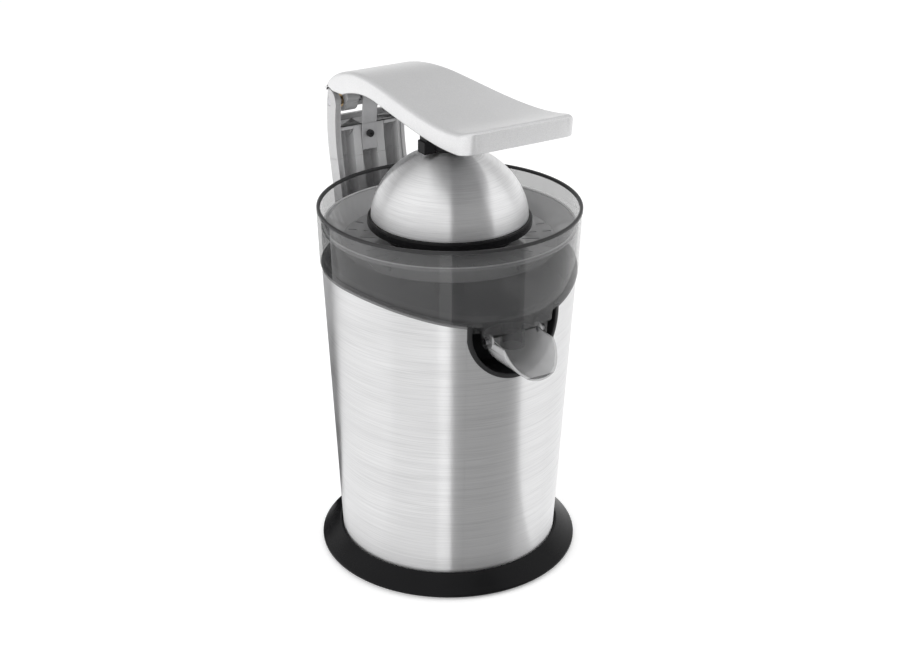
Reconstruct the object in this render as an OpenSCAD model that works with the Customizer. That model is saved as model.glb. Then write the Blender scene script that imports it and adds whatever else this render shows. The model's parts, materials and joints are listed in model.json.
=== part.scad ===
// Electric citrus juicer with a lever press.
// Origin on the axis of the body, on the surface it stands on. Up is +Z and the spout points to -Y.

/* [Body] */
// Outer radius of the base ring
base_r = 92; // [88:0.5:96]
// Height of the top edge of the base ring
base_h = 13.5; // [12:0.5:16]
// Outer radius of the steel sleeve at its bottom edge
sleeve_bottom_r = 76.9; // [75:0.1:79]
// Outer radius of the steel sleeve at the seam
sleeve_top_r = 87.4; // [86:0.1:88]
// Height of the sleeve's bottom edge
sleeve_bottom_z = 10.6; // [9:0.2:12]
// Thickness of the sleeve's sheet
sleeve_t = 0.8; // [0.6:0.1:1]
// Height of the seam at the back, where it runs level
seam_z = 215.5; // [213:0.5:218]
// Distance in front of the axis to where the seam starts to curve down, negative behind it
seam_flat_y = 10; // [4:1:16]
// Radius of the seam's sweep down to the spout, seen from the side
seam_sweep_r = 187; // [180:1:200]
// Height of the trim ring that closes the seam
trim_h = 2.2; // [1.8:0.1:2.6]
// Wall of the inner housing
housing_t = 2.2; // [2:0.1:2.6]
// Height of the inner housing's deck, its upper face
deck_z = 193; // [191:0.5:194]
// Thickness of the deck
deck_t = 3; // [2.4:0.2:3.4]
// Radius of the spout notch in the sleeve
notch_r = 36; // [34:0.5:37]
// Height of the centre of the notch
notch_z = 197.7; // [196:0.5:199]
// Width of the trim around the notch
notch_trim_w = 3.2; // [2.6:0.2:3.6]

/* [Juice parts] */
// Outer radius of the collector's rim
rim_r = 90; // [89:0.5:91]
// Height of the collector's rim
rim_z = 257.4; // [254:0.2:260]
// Thickness of the collector's wall
collector_t = 2.4; // [2:0.1:2.8]
// Outer radius of the collector's inner bowl
bowl_r = 81.6; // [80:0.2:82]
// Height of the underside of the collector's floor
floor_z = 196.5; // [195.5:0.5:197.5]
// Thickness of the collector's floor
floor_t = 2.2; // [1.8:0.1:2.6]
// Height of the top of the collector's chimney
chimney_z = 228.5; // [226:0.5:229]
// Half width of the apron that hangs in the notch
apron_w = 27.5; // [25:0.5:29]
// Outer radius of the outlet nozzle
nozzle_r = 8.2; // [7:0.2:9]
// Radius of the spout trough, outside
spout_r = 20; // [18:0.5:20.5]
// Wall of the spout
spout_t = 1.6; // [1.2:0.1:2]
// Distance of the spout's pivot in front of the axis
spout_y = 80; // [79:0.5:82]
// Height of the spout's pivot
spout_z = 190.5; // [190:0.25:191]
// Length of the spout's upper edge
spout_top_l = 16.5; // [14:0.5:19]
// Length of the spout's lower lip
spout_lip_l = 31; // [28:0.5:34]
// Height of the strainer's rim
strainer_z = 243; // [241:0.5:245]
// Outer radius of the strainer's rim
strainer_r = 86.2; // [84:0.2:86.4]
// Height of the strainer's floor
strainer_floor_z = 230; // [229.5:0.25:230]
// Number of slots in each of the strainer's two rings
slot_count = 30; // [20:1:36]
// Width of a strainer slot
slot_w = 1.4; // [1:0.1:2]
// Radius of the large cone at its foot
cone_r = 38; // [36:0.5:40]
// Height of the large cone's flange
cone_z = 236; // [236:0.25:237]
// Height of the large cone above its flange
cone_h = 51; // [46:1:52]
// Number of ribs on each cone
rib_count = 10; // [6:1:12]

/* [Column and lever] */
// Half width of the column
column_w = 28.4; // [27:0.2:30]
// Radius of the column's back, seen from the side
column_r = 130; // [126:1:134]
// Depth of the column from back to front
column_d = 20; // [19:0.5:22]
// Radius of the column's back corners
column_corner_r = 10; // [8:0.5:12]
// Wall of the column shell
column_t = 2.8; // [2.4:0.1:3.2]
// Height of the middle of the column's curve
column_z = 285; // [283:0.5:287]
// Distance from the axis forward to the centre of the column's curve
column_y = 2; // [0:0.5:4]
// Height where the channel of the column begins
channel_z = 232; // [230:0.5:234]
// Distance of the hinge axle behind the axis
hinge_y = 116.8; // [116.3:0.25:117.3]
// Height of the hinge axle
hinge_z = 302; // [301:0.5:303]
// Radius of the hinge axle
axle_r = 3; // [2.5:0.1:3.2]
// Radius of the column's rounded cheeks around the hinge
cheek_r = 10; // [9.6:0.1:10.2]
// Half width of the lever at the hinge
arm_back_w = 28.6; // [28:0.2:30]
// Half width of the lever at its tip
arm_tip_w = 42; // [38:0.5:44]
// Distance of the lever's tip in front of the axis
arm_tip_y = 84; // [80:1:88]
// Corner radius of the lever's tip, seen from above
arm_corner_r = 9; // [6:0.5:12]
// Wall of the lever's shell
arm_t = 2.4; // [2:0.1:2.8]
// Outer radius of the press dome at its edge
dome_r = 53.5; // [52:0.5:54]
// Height of the press dome's edge
dome_z = 249; // [248.5:0.5:250]
// Height of the press dome from its edge to its top
dome_h = 48; // [47:0.5:49]
// Height of the dome's swivel pin
dome_pin_z = 304; // [303.5:0.25:304.5]

/* [Drive] */
// Gear module
gear_m = 1; // [1:0.05:1.05]
// Teeth of the motor pinion and of the idler's pinion
pinion_n = 16; // [15:1:16]
// Teeth of the idler's wheel
idler_n = 56; // [52:1:56]
// Teeth of the output gear
output_n = 60; // [56:1:60]
// Angle of the motor around the idler, from +X
motor_angle = -40; // [-46:1:-34]
// Height of the gearbox floor's underside
gearbox_z = 126; // [124:0.5:128]
// Radius of the motor's laminations
stator_r = 30; // [28:0.5:31]
// Height of the motor's laminations
stator_h = 36; // [30:1:38]
// Radius of the drive spindle
spindle_r = 5; // [4.5:0.1:5.2]
// Travel of the press
press_travel = 3; // [2:0.25:3]
// Radial clearance of a running fit
fit = 0.05; // [0.03:0.01:0.08]

/* [Hidden] */
$fn = 96;
eps = 0.01;
big = 400;

// Small gap between pieces that are put together but don't slide
gap = 0.15;

// Radius of the sleeve's outside at height z
function sleeve_at(z) =
  sleeve_bottom_r + (sleeve_top_r - sleeve_bottom_r) * (z - sleeve_bottom_z) / (seam_z - sleeve_bottom_z);
// Outer radius of the inner housing at height z
function housing_at(z) = sleeve_at(z) - sleeve_t - gap;
// Radius of the collector's outside at height z
function collector_at(z) = rim_r - (rim_z - z) * (rim_r - sleeve_top_r - 1.1) / (rim_z - seam_z);

// Solid of revolution between radii given at two heights
module cone_tube(z0, z1, r0, r1, t) {
  rotate_extrude($fn = 180)
    polygon([[r0 - t, z0], [r0, z0], [r1, z1], [r1 - t, z1]]);
}

module cone_solid(z0, z1, r0, r1) {
  translate([0, 0, z0])
    cylinder(h = z1 - z0, r1 = r0, r2 = r1, $fn = 180);
}

module tube(r_out, r_in, z0, z1) {
  translate([0, 0, z0])
    difference() {
      cylinder(h = z1 - z0, r = r_out);
      translate([0, 0, -1])
        cylinder(h = z1 - z0 + 2, r = r_in);
    }
}

module disc(r, z0, z1) {
  translate([0, 0, z0])
    cylinder(h = z1 - z0, r = r);
}

// Extrudes a side view, drawn with y to the right and z up, to both sides of the middle plane
module side_view(width) {
  rotate([90, 0, 90])
    linear_extrude(height = width, center = true)
      children();
}

// Everything under the seam, raised by dz
module below_seam(dz) {
  side_view(big)
    union() {
      translate([-seam_flat_y, -20])
        square([big / 2, seam_z + dz + 20]);
      intersection() {
        translate([-seam_flat_y, seam_z - seam_sweep_r])
          circle(r = seam_sweep_r + dz, $fn = 240);
        translate([-seam_flat_y - 150, -20])
          square([150 + eps, big]);
      }
    }
}

// The U of the spout notch, with its side walls drawn in by inset, from y0 back to y1
module notch_cut(inset, y0, y1) {
  translate([0, y0, notch_z])
    rotate([-90, 0, 0])
      linear_extrude(height = y1 - y0)
        union() {
          circle(r = notch_r - inset);
          translate([-(notch_r - inset), -40])
            square([2 * (notch_r - inset), 40]);
        }
}

/* Base */

plate_z = 1.6;
plate_t = 2.4;
plate_r = base_r - 8;
ring_inner_r = base_r - 18;
foot_r = base_r - 19;
foot_w = 8;
foot_tongue_w = 2;
foot_tongue_h = 1.2;
post_pos = 62;
post_r = 5;
post_top_z = 42;
screw_r = 1.75;
screw_head_r = 3.2;
gland_z = 30;
gland_r = 5;
gland_bore_r = 3.4;
gland_flange_r = 7.6;
gland_l = 13;

module around(count, radius, start = 0) {
  for (a = [0 : count - 1])
    rotate([0, 0, start + 360 / count * a])
      translate([radius, 0, 0])
        children();
}

// A pan-head screw along +Z with the underside of its head at z = 0 and the head below
module screw(shank_l, shank_r = screw_r, head_r = screw_head_r) {
  difference() {
    union() {
      disc(head_r, -2.2, 0);
      disc(shank_r, -eps, shank_l);
    }
    for (a = [0, 90])
      rotate([0, 0, a])
        translate([-head_r * 0.6, -0.4, -3])
          cube([head_r * 1.2, 0.8, 1.8]);
  }
}

module base_ring() {
  color([0.05, 0.05, 0.055])
    difference() {
      rotate_extrude($fn = 180)
        polygon([
          [ring_inner_r, plate_z],
          [base_r - 0.6, plate_z],
          [base_r, plate_z + 0.6],
          [base_r, plate_z + 2],
          [base_r - 0.7, plate_z + 2.9],
          [sleeve_at(base_h) + 2.2, base_h],
          [sleeve_at(base_h) + 1, base_h],
          [sleeve_at(sleeve_bottom_z) + 1, sleeve_bottom_z],
          [ring_inner_r, sleeve_bottom_z]
        ]);
      disc(plate_r + gap, plate_z - 1, plate_z + plate_t);
    }
}

module base_plate() {
  color([0.08, 0.08, 0.085])
    difference() {
      disc(plate_r, plate_z, plate_z + plate_t);
      around(4, post_pos, 45) {
        disc(screw_r + gap, plate_z - 1, plate_z + plate_t + 1);
        disc(screw_head_r + gap, plate_z - 1, plate_z + 1.2);
      }
      tube(foot_r + foot_tongue_w / 2, foot_r - foot_tongue_w / 2, plate_z - 1, plate_z + foot_tongue_h);
      // Ventilation slots under the motor's fan
      for (row = [0 : 2])
        around(12, 18 + 11 * row, 15)
          translate([0, -1.25, plate_z - 1])
            cube([8, 2.5, plate_t + 2]);
    }
}

module foot_ring() {
  color([0.12, 0.12, 0.12])
    union() {
      tube(foot_r + foot_w / 2, foot_r - foot_w / 2, 0, plate_z);
      tube(foot_r + foot_tongue_w / 2, foot_r - foot_tongue_w / 2, plate_z - eps, plate_z + foot_tongue_h);
    }
}

module base_screws() {
  color([0.7, 0.7, 0.72])
    around(4, post_pos, 45)
      translate([0, 0, plate_z + 1.2])
        screw(18);
}

module gland_place() {
  translate([0, sleeve_at(gland_z) + 3, gland_z])
    rotate([90, 0, 0])
      children();
}

module cord_gland() {
  color([0.07, 0.07, 0.07])
    difference() {
      union() {
        gland_place()
          disc(gland_r, 0, gland_l);
        difference() {
          gland_place()
            disc(gland_flange_r, 0, 6);
          cone_solid(sleeve_bottom_z, seam_z, sleeve_bottom_r, sleeve_top_r);
        }
      }
      gland_place()
        disc(gland_bore_r, -1, gland_l + 1);
    }
}

module sleeve() {
  color([0.78, 0.78, 0.78])
    difference() {
      intersection() {
        cone_tube(sleeve_bottom_z, seam_z, sleeve_bottom_r, sleeve_top_r, sleeve_t);
        below_seam(0);
      }
      notch_cut(0, -big / 2, -40);
      gland_place()
        disc(gland_r, -10, gland_l + 20);
      column_screw_place()
        disc(screw_r + gap, -20, 20);
    }
}

module seam_trim() {
  top = seam_z + trim_h;
  color([0.35, 0.35, 0.36])
    difference() {
      intersection() {
        cone_tube(
          notch_z, top, sleeve_at(notch_z) + 0.5, sleeve_at(top) + 0.5,
          0.5 + sleeve_t + gap + housing_t
        );
        below_seam(trim_h);
      }
      below_seam(0);
      notch_cut(0, -big / 2, -40);
    }
}

module notch_trim() {
  top = seam_z;
  low = notch_z - notch_r - 5;
  color([0.3, 0.3, 0.31])
    difference() {
      intersection() {
        cone_tube(low, top, sleeve_at(low) + 0.5, sleeve_at(top) + 0.5, 0.5 + sleeve_t);
        below_seam(trim_h);
        notch_cut(gap, -big / 2, -40);
      }
      notch_cut(notch_trim_w, -big, -30);
    }
}

/* Inner housing */

tower_r = 10.2;
bush_r = 8;
tower_z = 222;
pocket_y = 58;
pocket_t = 2;
gearbox_x = 5;
gearbox_y = 19;
case_r = 54.5;
case_t = 2.2;
case_top_z = gearbox_z + 35;
cover_t = 2.5;
ear_pos = 58.5;
ear_r = 5;
ear_angles = [30, 150, 215, 325];
gear_screw_r = 1.6;
column_screw_x = 14;
column_screw_z = [150, 182];
pad_y = 78.5;
pad_r = 4.5;
// Joint between the housing and its foot, above the posts and the gland
foot_top_z = 52;

module ear_places() {
  for (a = ear_angles)
    translate([gearbox_x, gearbox_y, 0])
      rotate([0, 0, a])
        translate([ear_pos, 0, 0])
          children();
}

// Frames at the column's screws, with +Z pointing to the back of the juicer
module column_screw_place() {
  for (side = [-1, 1])
    for (z = column_screw_z)
      translate([side * column_screw_x, pad_y, z])
        rotate([-90, 0, 0])
          children();
}

module housing_shell() {
  intersection() {
    cone_tube(
      sleeve_bottom_z, seam_z, housing_at(sleeve_bottom_z), housing_at(seam_z), housing_t
    );
    below_seam(0);
  }
}

module whole_housing() {
  difference() {
    union() {
      housing_shell();
      disc(housing_at(deck_z) - 1, deck_z - deck_t, deck_z);
      disc(tower_r, deck_z - deck_t, tower_z);
      // Walls of the pocket behind the notch
      intersection() {
        notch_cut(notch_trim_w - pocket_t, -big / 2, pocket_t - pocket_y);
        cone_solid(notch_z - 50, deck_z, housing_at(notch_z - 50) - 1, housing_at(deck_z) - 1);
      }
      // Posts for the screws of the bottom plate, with their ribs
      around(4, post_pos, 45)
        disc(post_r, plate_z + plate_t, post_top_z);
      intersection() {
        around(4, post_pos, 45)
          translate([0, -1.5, sleeve_bottom_z + 0.5])
            cube([30, 3, post_top_z - sleeve_bottom_z - 0.5]);
        cone_solid(0, seam_z, housing_at(0) - 1, housing_at(seam_z) - 1);
      }
      ear_places()
        disc(ear_r, case_top_z + cover_t, deck_z - 1);
      // Flat pads under the heads of the column's screws
      intersection() {
        column_screw_place()
          disc(pad_r, 0, 12);
        cone_solid(100, deck_z, housing_at(100) - 1, housing_at(deck_z) - 1);
      }
    }
    notch_cut(notch_trim_w, -big / 2, -pocket_y);
    disc(bush_r, deck_z - deck_t - 1, tower_z + 1);
    around(4, post_pos, 45)
      disc(screw_r, 0, post_top_z - 8);
    ear_places()
      disc(gear_screw_r, case_top_z, deck_z - 8);
    gland_place()
      disc(gland_r, -10, gland_l + 20);
    column_screw_place()
      disc(screw_r + gap, -1, 20);
  }
}

module housing_between(z0, z1) {
  color([0.06, 0.06, 0.065])
    intersection() {
      whole_housing();
      disc(big / 2, z0, z1);
    }
}

// Foot with the posts for the bottom plate's screws and the seat of the gland
module housing_foot() {
  housing_between(0, foot_top_z);
}

module inner_housing() {
  housing_between(foot_top_z, deck_z);
}

// The wall above the deck, and the spindle's tower inside it
module housing_collar() {
  housing_between(deck_z, big);
}

/* Motor */

idler_y = gear_m * (pinion_n + output_n) / 2;
motor_reach = gear_m * (pinion_n + idler_n) / 2;
motor_x = motor_reach * cos(motor_angle);
motor_y = idler_y + motor_reach * sin(motor_angle);
stator_z = gearbox_z - 22 - stator_h;
stator_top_z = stator_z + stator_h;
rotor_r = 15;
shaft_r = 3;
bearing_r = 8;
bracket_t = 3;
lower_bracket_z = stator_z - 14;
upper_bracket_z = stator_top_z + 11;
bolt_pos = 26;
bolt_r = 1.6;
stage1_z = gearbox_z + 8;
stage1_h = 8;
stage2_z = gearbox_z + 22;
stage2_h = 10;

module at_motor() {
  translate([motor_x, motor_y, 0])
    children();
}

module motor_stator() {
  color([0.42, 0.42, 0.44])
    at_motor()
      difference() {
        disc(stator_r, stator_z, stator_top_z);
        disc(rotor_r + 0.5, stator_z - 1, stator_top_z + 1);
        // Four slots for the coils
        around(4, rotor_r - 1)
          translate([0, -5, stator_z - 1])
            cube([9, 10, stator_h + 2]);
        around(4, bolt_pos, 45)
          disc(bolt_r + gap, stator_z - 1, stator_top_z + 1);
      }
}

module motor_coils() {
  coil_h = stator_h + 12;
  color([0.72, 0.36, 0.15])
    at_motor()
      around(4, rotor_r + 1)
        translate([0, -4.6, stator_z - 6])
          difference() {
            cube([6.6, 9.2, coil_h]);
            translate([-1, 3.4, 6 + 2])
              cube([9, 2.4, stator_h - 4]);
          }
}

module motor_rotor() {
  color([0.6, 0.6, 0.62])
    at_motor()
      difference() {
        union() {
          disc(rotor_r, stator_z, stator_top_z);
          disc(rotor_r - 1.5, stator_z - 3, stator_top_z + 3);
        }
        disc(shaft_r, stator_z - 4, stator_top_z + 4);
      }
}

module motor_shaft() {
  color([0.8, 0.8, 0.82])
    at_motor()
      disc(shaft_r, lower_bracket_z - 13, stage1_z + stage1_h + 0.6);
}

module bearing(z) {
  translate([0, 0, z])
    difference() {
      disc(bearing_r, 0, 5);
      disc(shaft_r + fit, -1, 6);
    }
}

module motor_bearings() {
  color([0.75, 0.6, 0.35])
    at_motor() {
      bearing(lower_bracket_z);
      bearing(upper_bracket_z);
    }
}

// A bridge with a seat for one bearing and holes for the motor's bolts
module motor_bracket(z) {
  at_motor()
    difference() {
      union() {
        disc(bearing_r + 2.4, z, z + 5);
        for (a = [45, 135])
          rotate([0, 0, a])
            translate([-bolt_pos, -5, z])
              cube([2 * bolt_pos, 10, bracket_t]);
        around(4, bolt_pos, 45)
          disc(5, z, z + bracket_t);
      }
      disc(bearing_r, z - 1, z + 6);
      around(4, bolt_pos, 45)
        disc(bolt_r, z - 1, z + 6);
    }
}

module motor_lower_bracket() {
  color([0.55, 0.56, 0.58])
    union() {
      motor_bracket(lower_bracket_z);
      at_motor()
        around(4, bolt_pos, 45)
          tube(3.4, bolt_r, lower_bracket_z + bracket_t - eps, stator_z);
    }
}

module motor_upper_bracket() {
  color([0.55, 0.56, 0.58])
    union() {
      motor_bracket(upper_bracket_z);
      at_motor()
        around(4, bolt_pos, 45) {
          tube(3.4, bolt_r, stator_top_z, upper_bracket_z + eps);
          tube(3.4, bolt_r, upper_bracket_z + bracket_t - eps, gearbox_z);
        }
    }
}

module motor_bolts() {
  color([0.7, 0.7, 0.72])
    at_motor()
      around(4, bolt_pos, 45)
        translate([0, 0, lower_bracket_z])
          screw(gearbox_z + 3 - lower_bracket_z, bolt_r);
}

module motor_fan() {
  fan_z = lower_bracket_z - 12;
  color([0.1, 0.1, 0.1])
    at_motor()
      difference() {
        union() {
          disc(6, fan_z, fan_z + 9);
          disc(24, fan_z + 7.5, fan_z + 9);
          around(8, 5)
            translate([0, -0.7, fan_z])
              cube([18.5, 1.4, 8]);
        }
        disc(shaft_r, fan_z - 1, fan_z + 10);
      }
}

/* Gears */

pressure_angle = 20;
backlash = 0.14;
addendum = 0.9;
dedendum = 1.25;

function inv_deg(a) = tan(a) * 180 / PI - a;
function flank_angle(r, rb) = inv_deg(acos(min(1, rb / r)));

// One gear's outline, with a tooth on the +X axis or, when gap_on_x is true, a gap there
module gear_outline(n, gap_on_x = false) {
  rp = gear_m * n / 2;
  rb = rp * cos(pressure_angle);
  ra = rp + addendum * gear_m;
  rf = rp - dedendum * gear_m;
  r0 = max(rb, rf + 0.1);
  half_pitch = 90 / n - backlash / (2 * rp) * 180 / PI + inv_deg(pressure_angle);
  radii = [for (i = [0 : 4]) r0 + (ra - r0) * i / 4];
  turn = gap_on_x ? 180 / n : 0;
  points = [
    for (k = [0 : n - 1])
      let (mid = 360 / n * k + turn)
        each concat(
          [[rf, mid - half_pitch]],
          [for (r = radii) [r, mid - half_pitch + flank_angle(r, rb)]],
          [for (i = [4 : -1 : 0]) [radii[i], mid + half_pitch - flank_angle(radii[i], rb)]],
          [[rf, mid + half_pitch]]
        )
  ];
  polygon([for (p = points) [p[0] * cos(p[1]), p[0] * sin(p[1])]]);
}

module gear(n, h, gap_on_x = false) {
  linear_extrude(height = h)
    gear_outline(n, gap_on_x);
}

axle_boss_r = 5;

module motor_pinion() {
  color([0.85, 0.82, 0.7])
    at_motor()
      difference() {
        translate([0, 0, stage1_z - 0.5])
          rotate([0, 0, motor_angle + 180])
            gear(pinion_n, stage1_h + 1);
        disc(shaft_r, stage1_z - 2, stage1_z + stage1_h + 2);
      }
}

module idler_gear() {
  color([0.88, 0.86, 0.8])
    translate([0, idler_y, 0])
      difference() {
        union() {
          translate([0, 0, stage1_z])
            rotate([0, 0, motor_angle])
              gear(idler_n, stage1_h, true);
          disc(axle_boss_r + 2, stage1_z - 3, stage1_z + stage1_h);
          translate([0, 0, stage1_z + stage1_h - eps])
            rotate([0, 0, -90])
              gear(pinion_n, stage2_z + stage2_h + 2 - stage1_z - stage1_h);
        }
        disc(axle_r + fit, stage1_z - 4, stage2_z + stage2_h + 4);
      }
}

module output_gear() {
  color([0.88, 0.86, 0.8])
    difference() {
      union() {
        translate([0, 0, stage2_z])
          rotate([0, 0, 90])
            gear(output_n, stage2_h, true);
        disc(8.2, stage2_z - 2.8, stage2_z + stage2_h + 2.8);
      }
      translate([0, 0, stage2_z - 4])
        cylinder(h = stage2_h + 8, r = spindle_r + 0.15, $fn = 6);
    }
}

module idler_axle() {
  color([0.8, 0.8, 0.82])
    translate([0, idler_y, 0])
      disc(axle_r, gearbox_z, case_top_z + cover_t);
}

/* Gearbox */

pocket_r = 6.7;
ear_h = 11;
pocket_wall = 1.4;
collar_r = 6.5;
collar_z = gearbox_z + 13.8;
collar_t = 3;
finger_w = 4;
finger_l = 17;
switch_x = 15;

module gearbox_case() {
  color([0.2, 0.2, 0.21])
    difference() {
      union() {
        translate([gearbox_x, gearbox_y, 0])
          difference() {
            disc(case_r, gearbox_z, case_top_z);
            disc(case_r - case_t, gearbox_z + 3, case_top_z + 1);
          }
        difference() {
          ear_places()
            disc(ear_r, case_top_z - ear_h, case_top_z);
          translate([gearbox_x, gearbox_y, 0])
            disc(case_r - case_t, gearbox_z, case_top_z + 1);
        }
        disc(pocket_r + pocket_wall, gearbox_z + 1, stage2_z - 3);
        translate([0, idler_y, 0])
          disc(axle_boss_r, gearbox_z + 1, stage1_z - 3.2);
      }
      disc(pocket_r, gearbox_z + 3, stage2_z);
      // Slot for the collar's finger
      translate([-20, -finger_w / 2 - 0.5, collar_z - press_travel - 0.5])
        cube([20, finger_w + 1, 20]);
      translate([0, idler_y, 0])
        disc(axle_r, gearbox_z - 1, stage1_z);
      at_motor() {
        disc(shaft_r + 1, gearbox_z - 1, gearbox_z + 4);
        around(4, bolt_pos, 45)
          disc(bolt_r, gearbox_z - 1, gearbox_z + 4);
      }
      ear_places()
        disc(gear_screw_r + gap, case_top_z - ear_h - 1, case_top_z + 1);
    }
}

module gearbox_cover() {
  color([0.2, 0.2, 0.21])
    difference() {
      union() {
        translate([gearbox_x, gearbox_y, 0])
          disc(case_r, case_top_z, case_top_z + cover_t);
        ear_places()
          disc(ear_r, case_top_z, case_top_z + cover_t);
      }
      disc(spindle_r + 1, case_top_z - 1, case_top_z + cover_t + 1);
      translate([0, idler_y, 0])
        disc(axle_r, case_top_z - 1, case_top_z + cover_t + 1);
      ear_places()
        disc(gear_screw_r + gap, case_top_z - 1, case_top_z + cover_t + 1);
    }
}

module gearbox_screws() {
  color([0.7, 0.7, 0.72])
    ear_places()
      translate([0, 0, case_top_z - ear_h])
        screw(ear_h + cover_t + 10.5, gear_screw_r);
}

/* Spindle and switch */

spindle_low_z = collar_z + collar_t + 0.15;
shoulder_z = 226;
shoulder_r = 9;
drive_hex_r = 7;
spindle_top_z = 247;

module spindle_bush() {
  color([0.75, 0.6, 0.35])
    tube(bush_r, spindle_r + fit, deck_z - deck_t, tower_z - 4.2);
}

module spindle_seal() {
  color([0.1, 0.1, 0.1])
    tube(bush_r, spindle_r + fit, tower_z - 4, tower_z);
}

module drive_spindle() {
  color([0.8, 0.8, 0.82])
    union() {
      translate([0, 0, spindle_low_z])
        cylinder(h = case_top_z + 5 - spindle_low_z, r = spindle_r, $fn = 6);
      disc(spindle_r, case_top_z + 5, shoulder_z + 1);
      disc(shoulder_r, shoulder_z, shoulder_z + 3);
      translate([0, 0, shoulder_z + 3 - eps])
        cylinder(h = spindle_top_z - shoulder_z - 3, r = drive_hex_r, $fn = 6);
    }
}

module thrust_collar() {
  color([0.9, 0.9, 0.88])
    union() {
      disc(collar_r, collar_z, collar_z + collar_t);
      translate([-finger_l, -finger_w / 2, collar_z])
        cube([finger_l, finger_w, collar_t - 0.5]);
    }
}

spring_turns = 4.5;
spring_mean_r = 4.8;
wire_r = 0.5;

// Helix with closed ends, as a tube swept along its points
module return_spring() {
  z0 = gearbox_z + 3 + wire_r;
  z1 = collar_z - wire_r;
  steps = 16 * spring_turns;
  sides = 6;
  rings = [
    for (i = [0 : steps])
      let (a = 360 * spring_turns * i / steps, z = z0 + (z1 - z0) * i / steps)
        [for (k = [0 : sides - 1])
          let (b = 360 / sides * k)
            [
              (spring_mean_r + wire_r * cos(b)) * cos(a),
              (spring_mean_r + wire_r * cos(b)) * sin(a),
              z + wire_r * sin(b)
            ]
        ]
  ];
  points = [for (ring = rings) each ring];
  side_faces = [
    for (i = [0 : steps - 1])
      for (k = [0 : sides - 1])
        let (n = (k + 1) % sides)
          [i * sides + k, (i + 1) * sides + k, (i + 1) * sides + n, i * sides + n]
  ];
  first_cap = [for (k = [0 : sides - 1]) k];
  last_cap = [for (k = [sides - 1 : -1 : 0]) steps * sides + k];
  color([0.75, 0.75, 0.78])
    polyhedron(points, concat(side_faces, [first_cap, last_cap]), convexity = 10);
}

plunger_r = 1.4;

module press_switch() {
  color([0.15, 0.15, 0.16])
    difference() {
      translate([-switch_x - 8, -5, gearbox_z + 3])
        cube([13, 10, collar_z - press_travel - 0.4 - gearbox_z - 3]);
      translate([-switch_x, 0, 0])
        disc(plunger_r + fit, gearbox_z + 4, collar_z);
    }
}

module switch_plunger() {
  color([0.75, 0.15, 0.12])
    translate([-switch_x, 0, 0])
      disc(plunger_r, gearbox_z + 4.3 + press_travel, collar_z - 0.1);
}

/* Juice parts */

lug_x = spout_r + 0.6;
lug_t = 2.4;
lug_half_w = 4.6;
spout_pin_r = 1.75;
ear_disc_r = 4.6;
ledge_t = 2.4;
chimney_r = 13;
chimney_inner_r = 10.8;
rest_count = 6;
rest_w = 5;
rest_h = 3;
nozzle_in = 2;
nozzle_l = 14;
nozzle_t = 1.6;
outlet_w = 12;
outlet_h = 7.5;

module collector_skirt() {
  difference() {
    cone_tube(notch_z - 10, rim_z, collector_at(notch_z - 10), collector_at(rim_z), collector_t);
    difference() {
      below_seam(trim_h);
      // The apron stays in the notch, down to the floor's underside
      translate([-apron_w, -big / 2, floor_z])
        cube([2 * apron_w, big / 2 - 40, big]);
    }
  }
}

module whole_collector() {
  difference() {
    union() {
      collector_skirt();
      // Ledge that rests on the seam's trim
      difference() {
        intersection() {
          cone_tube(notch_z, rim_z, collector_at(notch_z) - 0.2, rim_r - 0.2, rim_r - bowl_r + 1);
          below_seam(trim_h + ledge_t);
        }
        below_seam(trim_h);
      }
      // Inner bowl
      intersection() {
        tube(bowl_r, bowl_r - 1.8, floor_z, rim_z);
        below_seam(trim_h + ledge_t);
      }
      tube(bowl_r - 1, chimney_r - 1, floor_z, floor_z + floor_t);
      tube(chimney_r, chimney_inner_r, floor_z, chimney_z);
      // Floor of the outlet, out to the apron
      intersection() {
        translate([-apron_w, -big / 2, floor_z])
          cube([2 * apron_w, big / 2 - 60, floor_t]);
        cone_solid(notch_z - 10, rim_z, collector_at(notch_z - 10) - 0.5, rim_r - 0.5);
      }
      translate([0, -spout_y + nozzle_in, 0])
        disc(nozzle_r, floor_z - nozzle_l, floor_z + 1);
      for (side = [-1, 1])
        translate([side * (lug_x + lug_t / 2) - lug_t / 2, -spout_y, 0]) {
          translate([0, -lug_half_w, spout_z])
            cube([lug_t, 2 * lug_half_w, floor_z + 1 - spout_z]);
          translate([0, 0, spout_z])
            rotate([0, 90, 0])
              cylinder(h = lug_t, r = lug_half_w);
        }
      // Small rests for the strainer's rim
      intersection() {
        around(rest_count, strainer_r - 2, 30)
          translate([0, -rest_w / 2, strainer_z - 1 - rest_h])
            cube([rim_r - strainer_r + 4, rest_w, rest_h]);
        cone_solid(floor_z, rim_z, collector_at(floor_z) - 0.5, rim_r - 0.5);
      }
    }
    // Way from the bowl into the nozzle
    translate([0, -spout_y + nozzle_in, 0])
      disc(nozzle_r - nozzle_t, floor_z - nozzle_l - 1, floor_z + 5);
    translate([-outlet_w, -bowl_r - 1, floor_z + floor_t])
      cube([2 * outlet_w, 6, outlet_h]);
    translate([-lug_x - lug_t - 1, -spout_y, spout_z])
      rotate([0, 90, 0])
        cylinder(h = 2 * (lug_x + lug_t + 1), r = spout_pin_r);
  }
}

// Outer wall with the ledge that rests on the seam's trim, and the apron in the notch
module collector() {
  color([0.25, 0.25, 0.26, 0.6])
    difference() {
      whole_collector();
      disc(bowl_r, 0, big);
      disc(big / 2, 0, floor_z + floor_t);
    }
}

// Deep wall inside the outer one, and the chimney round the spindle
module collector_bowl() {
  color([0.25, 0.25, 0.26, 0.6])
    intersection() {
      whole_collector();
      disc(bowl_r, floor_z + floor_t, big);
    }
}

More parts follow.
